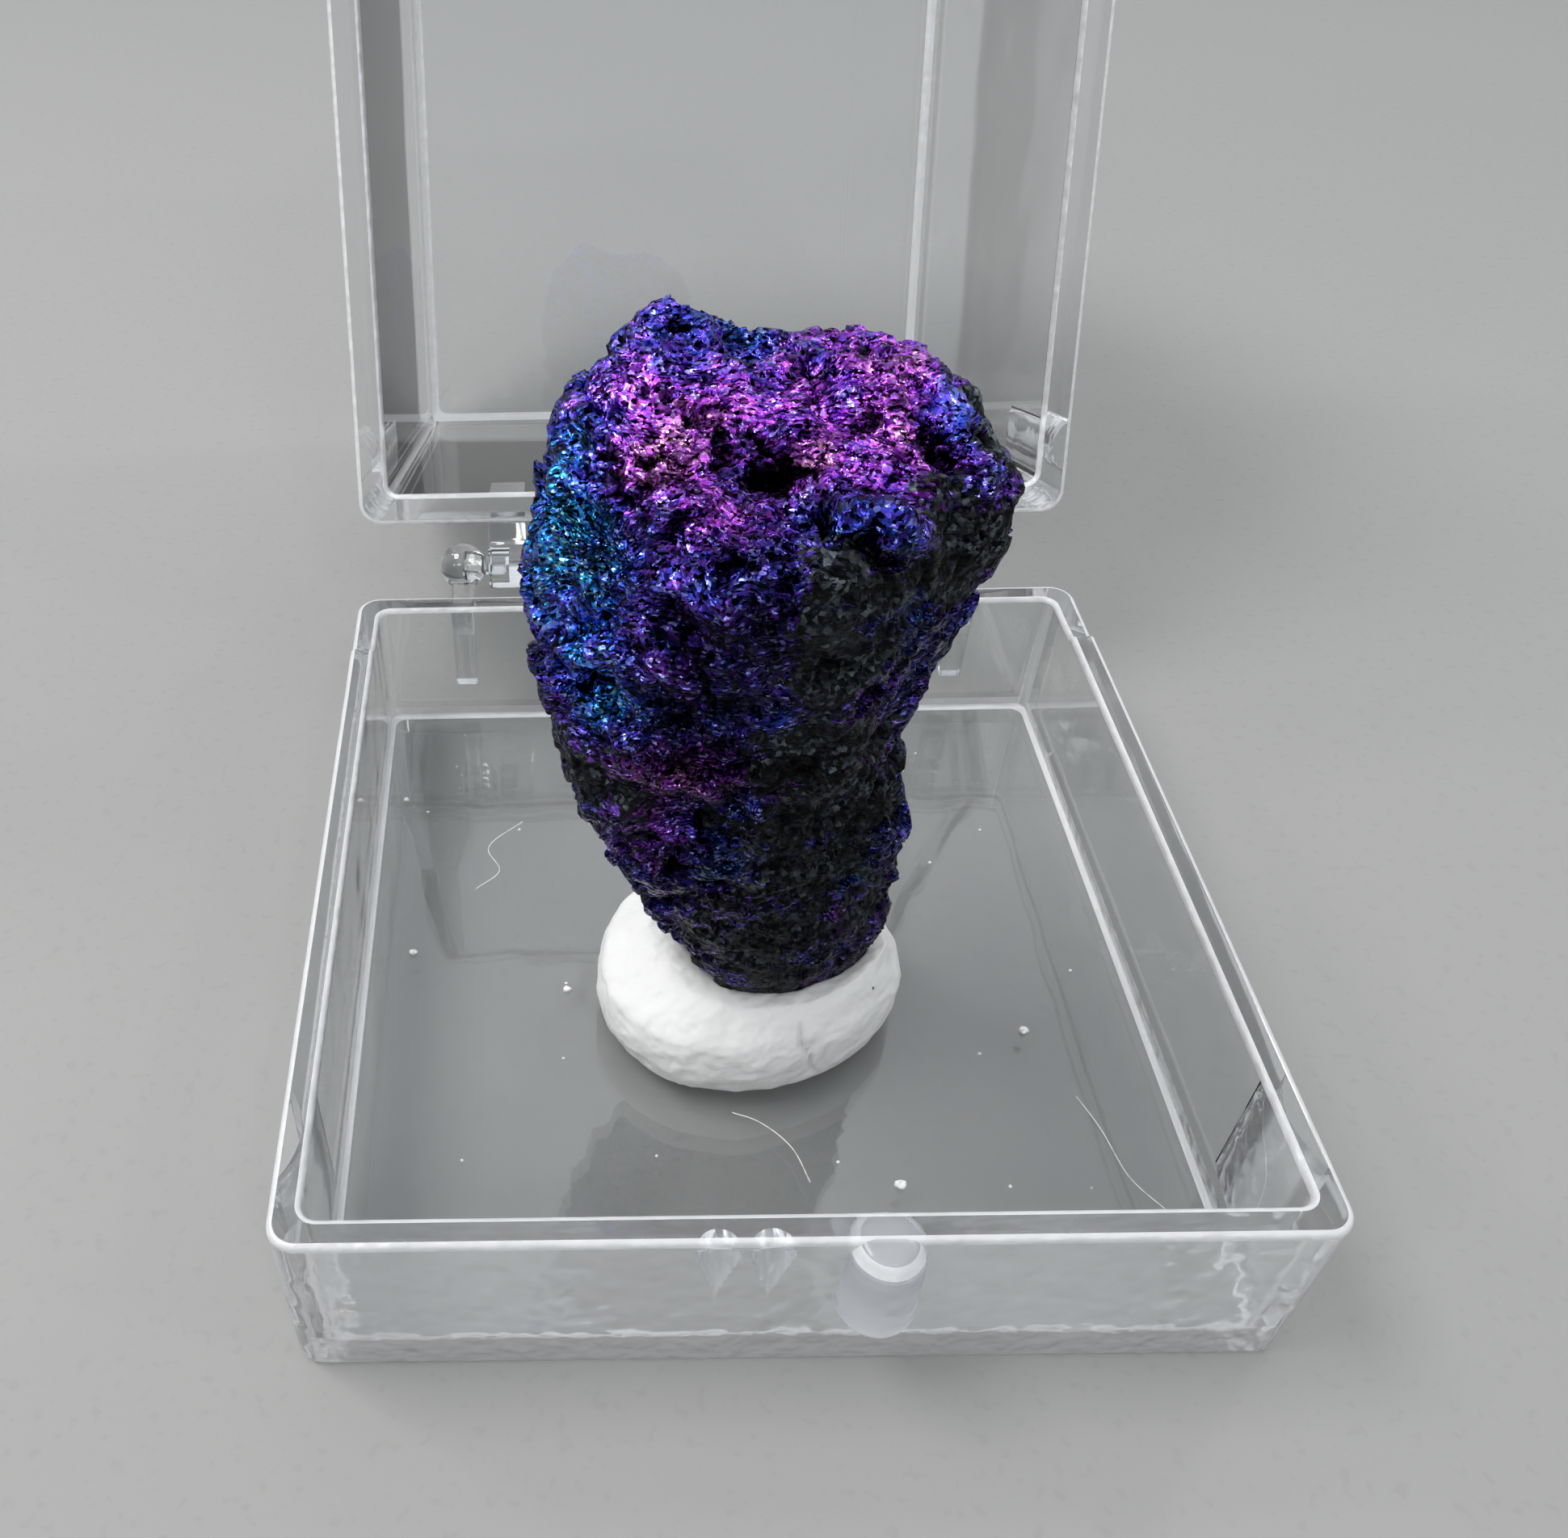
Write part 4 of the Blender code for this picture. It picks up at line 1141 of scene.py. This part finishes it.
tray = {
    "height": 15.5,
    "wall": 2.1,
    "floor": 2.0,
    "innerCorner": 1.0,
    "foot": 0.5,
    "rimRound": 0.42,
    "innerRound": 0.40,
    "stepY": 25.0,
    "stepDrop": 0.5,
    "scoop": {"y": -24.6, "chord": 7.4, "depth": 1.4, "low": 4.0, "high": 14.9},
    "flutes": {"xs": (-5.4, -2.1), "radius": 1.4, "tip": 9.4, "wide": 14.3, "high": 14.95},
    "post": {
        "place": (4.8, -32.7), "low": 6.9, "high": 15.45, "radii": (2.65, 2.4), "footRound": 1.3,
        "dome": 1.2,
        # the dome: how far in from the rod's side, and share of the dome's height below the top
        "domeRows": ((0.12, 0.8667), (0.30, 0.55), (0.62, 0.2), (0.95, 0.05), (1.5, 0.0)),
    },
}


def trayDent(turn, along, bend, height):
    # the scoops, and the round flutes that widen upwards in the front wall
    flutes = tray["flutes"]
    dent = sideScoops(tray["scoop"], turn, along, bend, height)
    if flutes["tip"] < height < flutes["high"]:
        rise = (height - flutes["tip"]) / (flutes["wide"] - flutes["tip"])
        fall = (flutes["high"] - height) / (flutes["high"] - flutes["wide"])
        radius = flutes["radius"] * min(rise, fall)
        for x in flutes["xs"]:
            found = np.sqrt(np.maximum(radius ** 2 - (along - x) ** 2, 0.0))
            dent = np.maximum(dent, np.where((turn == 3) & (bend == 0), found, 0.0))
    return dent


def trayDrop(y, height):
    # the rim steps down behind stepY, eased over 0.8 mm and fading out down the wall
    share = np.clip((y - tray["stepY"] + 0.4) / 0.8, 0.0, 1.0)
    share = share * share * (3 - 2 * share)
    return tray["stepDrop"] * share * np.clip((height - 12.0) / (tray["height"] - 12.0), 0.0, 1.0)


def trayProfile():
    # rows from the underside's middle, round the foot, up the outside, over the rim, down inside
    half, corner, foot, rim = box["half"], box["corner"], tray["foot"], tray["rimRound"]
    lead, scoop, flutes = box["lead"], tray["scoop"], tray["flutes"]
    rows = [
        (half - 3.0, 0.0, corner, 0.0, False),
        (half - foot - 0.15, 0.0, corner - foot, 0.0, False),
    ]
    for angle in np.linspace(0.0, math.pi / 2, 6):
        inset = foot * (1 - math.sin(angle))
        rows.append((half - inset, foot * (1 - math.cos(angle)), corner - inset, 1.0, False))
    heights = [foot + lead, 2.0, 2.3, scoop["low"] - 0.01, scoop["low"] + 0.01, 6.0, 8.0]
    heights += list(np.linspace(flutes["tip"], flutes["wide"], 13))
    heights += [14.6, scoop["high"] - 0.01, scoop["high"] + 0.01]
    heights += [flutes["high"], tray["height"] - rim - 0.05]
    rows += [(half, height, corner, 0.0, True) for height in heights]
    top = tray["height"]
    for angle in np.linspace(0.0, math.pi / 2, 5):
        inset = rim * (1 - math.cos(angle))
        rows.append((half - inset, top - rim * (1 - math.sin(angle)), corner - inset, 1.0, False))
    inner, innerCorner = half - tray["wall"], tray["innerCorner"]
    rows.append((half - rim - lead, top, corner - rim - lead, 0.3, False))
    rows.append((inner + rim + lead, top, innerCorner + rim + lead, 0.3, False))
    for angle in np.linspace(0.0, math.pi / 2, 5):
        outset = rim * (1 - math.sin(angle))
        height = top - rim * (1 - math.cos(angle))
        rows.append((inner + outset, height, innerCorner + outset, 1.0, False))
    rows.append((inner, top - rim - lead, innerCorner, 0.0, False))
    fillet = tray["innerRound"]
    rows.append((inner, tray["floor"] + fillet + lead, innerCorner, 0.0, False))
    for angle in np.linspace(0.0, math.pi / 2, 6):
        inset = fillet * (1 - math.cos(angle))
        height = tray["floor"] + fillet * (1 - math.sin(angle))
        rows.append((inner - inset, height, innerCorner, 1.0, False))
    rows.append((inner - fillet - lead, tray["floor"], innerCorner, 0.0, False))
    rows.append((inner - 4.0, tray["floor"], innerCorner, 0.0, False))
    return rows


def outerRows(points):
    # true within a twentieth of a millimetre of the tray's outside
    return np.maximum(np.abs(points[:, 0]), np.abs(points[:, 1])) > box["half"] - 0.05


def makeTray():
    flutes = tray["flutes"]
    nearScoop = scoopColumns(tray["scoop"], 33)
    nearStep = np.linspace(tray["stepY"] - 0.5, tray["stepY"] + 0.5, 9)
    nearFlutes = np.arange(min(flutes["xs"]) - 1.6, max(flutes["xs"]) + 1.6, 0.08)
    sides = (
        np.concatenate([nearScoop, nearStep]), np.zeros(1),
        -np.concatenate([nearScoop, nearStep]), nearFlutes,
    )
    stations = pathStations(sides)
    points, faces, edge, rubbedAndSheen = carryProfile(stations, trayProfile(), trayDent, trayDrop)
    # the front wall takes the milky plastic: partly rubbed, partly a painted sheen of reflected light
    frontWall = (points[:, 1] < 0.1 - box["half"]) & (edge < 0.5)
    wearAndHighlight = np.where(rubbedAndSheen | frontWall, 2, (edge > 0.5).astype(int))
    # the outside's foot band takes the worn edge with its painted highlight, so it reads bright
    wearAndHighlight = np.where((points[:, 2] < box["rubbedAndSheenFoot"]) & outerRows(points), 1, wearAndHighlight)
    materials = [trayPlastic, edgePlastic, rubbedAndSheenPlastic]
    piece = makePiece("tray_shell", points, faces, materials, box["sharp"], wearAndHighlight)
    setAttribute(piece, "edge", edge)
    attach(piece, "base")
    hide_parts("tray")


def revolve(profile, place, count=48):
    # rows of (radius, height) turned about an upright line
    angles = np.linspace(0.0, 2 * math.pi, count, endpoint=False)
    ring = np.stack([np.cos(angles), np.sin(angles)], axis=1)
    rows = [
        np.column_stack([np.array(place) + radius * ring, np.full(count, height)])
        for radius, height in profile
    ]
    return np.concatenate(rows), [netFaces(len(rows), count), endCaps(len(rows), count)]


def makePost():
    # a slightly tapered rod with a round foot and a domed top
    post = tray["post"]
    low, high, dome = post["low"], post["high"], post["dome"]
    wide, narrow = post["radii"]
    foot = post["footRound"]
    profile = [(0.05, low), (wide - foot - box["lead"], low)]
    for angle in np.linspace(0, math.pi / 2, 9):
        rise = foot * (1 - math.cos(angle))
        profile.append((wide - foot * (1 - math.sin(angle)), low + rise))
    for share in (0.3, 0.6, 1.0):
        height = low + foot + (high - dome - low - foot) * share
        profile.append((wide + (narrow - wide) * share, height))
    profile += [(narrow - inset, high - dome * under) for inset, under in post["domeRows"]]
    profile.append((0.05, high))
    points, faces = revolve(profile, post["place"])
    height = points[:, 2]
    onRim = (height > high - dome) & (height < high - dome * 0.15)
    # the foot and the dome's rim take the worn edge with its painted highlight
    wearAndHighlight = ((height < low + 1.2) | onRim).astype(int)
    piece = makePiece("tray_post", points, faces, [frostedPlastic, edgePlastic], 30, wearAndHighlight)
    setAttribute(piece, "edge", np.full(len(points), 0.6))
    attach(piece, "base")


makeTray()
makePost()
print("tray made")

# Lid: modelled closed, then swung back about the hinge
lid = {
    "height": 67.98,
    "gap": 0.3,
    "wall": 2.8,
    "top": 2.2,
    "draft": 0.5,
    "round": 1.0,
    "innerRound": 0.8,
    "rimRound": 0.40,
    "innerCorner": 1.0,
    "scoop": {"y": 27.0, "chord": 4.8, "depth": 1.4, "low": 16.4, "high": 27.0},
}


def lidDent(turn, along, bend, height):
    # the lid has scoops alone
    return sideScoops(lid["scoop"], turn, along, bend, height)


def swingBack(points):
    # turns points about the hinge's axis from closed to how the lid rests
    turn = -math.radians(hinge["range_deg"][1])
    pivot = np.array(hinge["pos_m"]) / mm
    cosine, sine = math.cos(turn), math.sin(turn)
    away = points - pivot
    y = away[:, 1] * cosine - away[:, 2] * sine
    z = away[:, 1] * sine + away[:, 2] * cosine
    return pivot + np.column_stack([away[:, 0], y, z])


def lidProfile():
    # rows from the inside of the top, down the inside, round the rim, up the outside, over the top
    half, corner, innerCorner = box["half"], box["corner"], lid["innerCorner"]
    lead = box["lead"]
    low, high = tray["height"] + lid["gap"], lid["height"]
    ceiling = high - lid["top"]

    def outer(height):
        return half - lid["draft"] * (height - low) / (high - low)

    def inner(height):
        return half - lid["wall"] - lid["draft"] * (height - low) / (ceiling - low)

    rows = [
        (inner(ceiling) - 4.0, ceiling, innerCorner, 0.0, False),
        (inner(ceiling) - lid["innerRound"] - lead, ceiling, innerCorner, 0.0, False),
    ]
    for angle in np.linspace(0.0, math.pi / 2, 6):
        inset = lid["innerRound"] * (1 - math.sin(angle))
        height = ceiling - lid["innerRound"] * (1 - math.cos(angle))
        rows.append((inner(ceiling) - inset, height, innerCorner, 1.0, False))
    rows.append((inner(ceiling - 1.0), ceiling - 1.0, innerCorner, 0.0, False))
    rim = lid["rimRound"]
    rows.append((inner(low + rim + lead), low + rim + lead, innerCorner, 0.0, False))
    for angle in np.linspace(0.0, math.pi / 2, 5):
        outset = rim * (1 - math.cos(angle))
        height = low + rim * (1 - math.sin(angle))
        rows.append((inner(low) + outset, height, innerCorner + outset, 1.0, False))
    rows.append((inner(low) + rim + lead, low, innerCorner + rim + lead, 0.3, False))
    rows.append((half - rim - lead, low, corner - rim - lead, 0.3, False))
    for angle in np.linspace(0.0, math.pi / 2, 5):
        inset = rim * (1 - math.sin(angle))
        rows.append((half - inset, low + rim * (1 - math.cos(angle)), corner - inset, 1.0, False))
    scoop = lid["scoop"]
    heights = [low + rim + 0.05, scoop["low"] - 0.01, scoop["low"] + 0.01, 20.0, 24.0]
    heights += [scoop["high"] - 0.01, scoop["high"] + 0.01, 45.0, high - lid["round"] - lead]
    rows += [(outer(height), height, corner, 0.0, True) for height in heights]
    for angle in np.linspace(0.0, math.pi / 2, 9):
        inset = lid["round"] * (1 - math.cos(angle))
        height = high - lid["round"] * (1 - math.sin(angle))
        rows.append((outer(high) - inset, height, corner - inset, 0.8, False))
    rows.append((outer(high) - lid["round"] - lead, high, corner - lid["round"], 0.0, False))
    rows.append((outer(high) - 4.0, high, corner - lid["round"], 0.0, False))
    return rows


def noDrop(y, height):
    # the lid's rim is level
    return np.zeros(len(y))


def makeLid():
    nearScoop = scoopColumns(lid["scoop"], 25)
    sides = (nearScoop, np.zeros(1), -nearScoop, np.zeros(1))
    stations = pathStations(sides)
    points, faces, edge, rubbedAndSheen = carryProfile(stations, lidProfile(), lidDent, noDrop)
    # dents and outer corners take the milky painted sheen, and round edges the worn edge with its
    # painted highlight
    wearAndHighlight = np.where(rubbedAndSheen, 2, (edge > 0.5).astype(int))
    materials = [lidPlastic, edgePlastic, rubbedAndSheenPlastic]
    piece = makePiece("lid_shell", swingBack(points), faces, materials, box["sharp"], wearAndHighlight)
    setAttribute(piece, "edge", edge)
    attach(piece, "lid")
    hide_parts("lid")


makeLid()
print("lid made")

# Hinges: balls and pins on ribs behind the tray, arms with bores on the lid
hinges = {
    "x": 23.4,
    "ball": 2.2,
    "pin": 0.9,
    "pinBevel": 0.15,
    "pinTip": 19.3,
    "ribWidth": 2.0,
    "ribFoot": 5.2,
    "ribDepth": 1.5,
    "armInner": 17.4,
    "armOuter": 20.9,
    "armRise": 8.0,
    "bore": 1.05,
    "boreEnd": 19.0,
    "bevel": 0.18,
}


def ballRows(place, radius, rows=20, columns=32):
    # a ball: radius sin(down) round and radius cos(down) up
    down = np.linspace(0.03, math.pi - 0.03, rows)
    around = np.linspace(0.0, 2 * math.pi, columns, endpoint=False)
    down, around = np.meshgrid(down, around, indexing="ij")
    level = np.sin(down)
    ball = np.stack([level * np.cos(around), level * np.sin(around), np.cos(down)], axis=-1)
    points = np.array(place) + radius * ball.reshape(-1, 3)
    return points, [netFaces(rows, columns), endCaps(rows, columns)]


def rodRows(startX, endX, y, z, radius, count=28):
    # a rod along X with slightly bevelled ends
    around = np.linspace(0.0, 2 * math.pi, count, endpoint=False)
    ring = np.stack([np.cos(around), np.sin(around)], axis=1)
    bevel = hinges["pinBevel"]
    step = bevel * np.sign(endX - startX)
    ends = ((startX, radius - bevel), (startX + step, radius), (endX - step, radius),
            (endX, radius - bevel))
    rows = [
        np.column_stack([np.full(count, x), np.array([y, z]) + size * ring]) for x, size in ends
    ]
    return np.concatenate(rows), [netFaces(4, count), endCaps(4, count)]


def plateRows(outline, startX, endX, bevel):
    # a plate along X: its outline in Y and Z, drawn in towards its middle at both faces' edges
    outline = np.array(outline)
    away = outline - outline.mean(axis=0)
    inset = outline - away / np.linalg.norm(away, axis=1)[:, None] * bevel
    step = bevel * np.sign(endX - startX)
    rows = []
    for x, flat in ((startX, inset), (startX + step, outline), (endX - step, outline), (endX, inset)):
        rows.append(np.column_stack([np.full(len(flat), x), flat]))
    return np.concatenate(rows), [netFaces(4, len(outline)), endCaps(4, len(outline))]


def makeHinges():
    _, axisY, axisZ = (value / mm for value in hinge["pos_m"])
    half = box["half"]
    trayParts, lidParts = [], []
    rib = (
        (half - 0.1, hinges["ribFoot"]),
        (half + hinges["ribDepth"], hinges["ribFoot"]),
        (half + hinges["ribDepth"], axisZ - 5.0),
        (axisY + 0.6, axisZ - 2.0),
        (axisY - 0.3, axisZ - 0.7),
        (half - 0.1, axisZ - 0.7),
    )
    turns = np.radians(np.arange(195, 406, 10))
    arm = [(half - 0.1, axisZ + hinges["armRise"]), (half - 0.1, tray["height"] + lid["gap"] + 0.1)]
    ball = hinges["ball"]
    arm += [(axisY + ball * math.cos(turn), axisZ + ball * math.sin(turn)) for turn in turns]
    for side in (-1, 1):
        x, wide = side * hinges["x"], hinges["ribWidth"] / 2
        trayParts.append(plateRows(rib, x - wide, x + wide, hinges["bevel"]))
        trayParts.append(ballRows((x, axisY, axisZ), ball))
        trayParts.append(rodRows(x, side * hinges["pinTip"], axisY, axisZ, hinges["pin"]))
        lidParts.append(armWithBore(np.array(arm), side, axisY, axisZ))
    for name, parts, material, body, slot in (
        ("tray_hinge_balls", trayParts, trayPlastic, "base", "clear_tray"),
        ("lid_hinge_arms", lidParts, lidPlastic, "lid", "clear_lid"),
    ):
        points, faces = joinParts(parts)
        if body == "lid":
            points = swingBack(points)
        piece = makePiece(name, points, faces, [material], 35)
        setAttribute(piece, "edge", np.full(len(points), 0.25))
        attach(piece, body)


def armWithBore(outline, side, axisY, axisZ):
    # a plate whose outer face is pierced by a blind round bore: the outline on both faces, then
    # rows that run from the outer face's outline in to the bore's mouth and down to its end
    count = 64
    closed = np.concatenate([outline, outline[:1]])
    steps = np.concatenate([[0.0], np.cumsum(np.linalg.norm(np.diff(closed, axis=0), axis=1))])
    even = np.linspace(0.0, steps[-1], count, endpoint=False)
    outline = np.column_stack([np.interp(even, steps, closed[:, k]) for k in range(2)])
    away = outline - np.array([axisY, axisZ])
    reach = np.linalg.norm(away, axis=1)[:, None]
    mouth = np.array([axisY, axisZ]) + away / reach * hinges["bore"]
    inner, outer, end = (side * hinges[key] for key in ("armInner", "armOuter", "boreEnd"))
    bevel = hinges["bevel"]
    inset = outline - away / reach * bevel
    rows = [(inner, inset), (inner + side * bevel, outline), (outer - side * bevel, outline),
            (outer, inset), (outer, mouth), (end, mouth)]
    points = np.concatenate([np.column_stack([np.full(count, x), flat]) for x, flat in rows])
    return points, [netFaces(len(rows), count), endCaps(len(rows), count)]


makeHinges()
print("hinges made")

# Dirt on the tray's floor: pale crumbs and fine hairs
dirt = {
    "seed": 7,
    # how many crumbs, and the range of their sizes
    "crumbs": ((7, 0.20, 0.50), (26, 0.07, 0.16)),
    "reach": 29.0,             # how far from the tray's middle
    "clear": 13.5,             # and how far from the putty's
    "hairs": (
        ((-2, -15), (0, -16), (2, -18), (3, -21)),
        ((24, -14), (25, -17), (26, -21), (28, -24)),
        ((-22, 8), (-20, 10), (-21, 13), (-18, 16)),
    ),
    "hairRadius": 0.035,
    "hairSides": 6,
    "marks": (1500.0, 2500.0, 0.55),
    "colour": (0.82, 0.82, 0.80),
    "stain": (0.60, 0.58, 0.54),
    "roughness": 0.7,
}


def crumbRows(place, size, rng):
    # a ball whose radius is upset by random waves, flattened
    points, faces = ballRows((0.0, 0.0, 0.0), 1.0, 7, 10)
    waves = rng.normal(0.0, 1.0, (3, 3))
    lumps = 1 + 0.16 * np.sum(np.sin(points @ waves.T * 2.6), axis=1)
    points = points * lumps[:, None] * size * np.array([1.0, 0.8, 0.6])
    return points + np.array([place[0], place[1], tray["floor"] + 0.55 * size]), faces


def hairRows(route, radius):
    # a tube whose centreline is a Catmull-Rom curve through the route
    route = np.array(route, dtype=float)[:, None, :]
    line = smoothRows(np.concatenate([route, np.zeros((len(route), 1, 1))], axis=2), 40)[:, 0, :]
    line[:, 2] = tray["floor"] + radius + 0.12 * np.abs(np.sin(np.linspace(0, 5, len(line))))
    ahead = np.gradient(line, axis=0)
    ahead /= np.linalg.norm(ahead, axis=1)[:, None]
    side = np.cross(ahead, np.array([0.0, 0.0, 1.0]))
    side /= np.linalg.norm(side, axis=1)[:, None]
    up = np.cross(side, ahead)
    count = dirt["hairSides"]
    around = np.linspace(0.0, 2 * math.pi, count, endpoint=False)
    ring = side[:, None] * np.cos(around)[:, None] + up[:, None] * np.sin(around)[:, None]
    points = (line[:, None] + radius * ring).reshape(-1, 3)
    return points, [netFaces(len(line), count), endCaps(len(line), count)]


def makeDirt():
    rng = np.random.default_rng(dirt["seed"])
    parts = []
    for count, least, most in dirt["crumbs"]:
        for _ in range(count):
            place = rng.uniform(-dirt["reach"], dirt["reach"], 2)
            if np.hypot(*(place - np.array(putty["centre"]))) > dirt["clear"]:
                parts.append(crumbRows(place, rng.uniform(least, most), rng))
    parts += [hairRows(route, dirt["hairRadius"]) for route in dirt["hairs"]]
    points, faces = joinParts(parts)
    material, tree, shader = startMaterial("paleDust")
    _, marks = placeMarks(tree, *dirt["marks"])
    colour = mixColour(tree, marks, dirt["colour"], dirt["stain"])
    tree.links.new(colour, shader.inputs["Base Color"])
    shader.inputs["Roughness"].default_value = dirt["roughness"]
    piece = makePiece("tray_dust", points, faces, [material])
    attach(piece, "base")


makeDirt()
print("dust scattered")
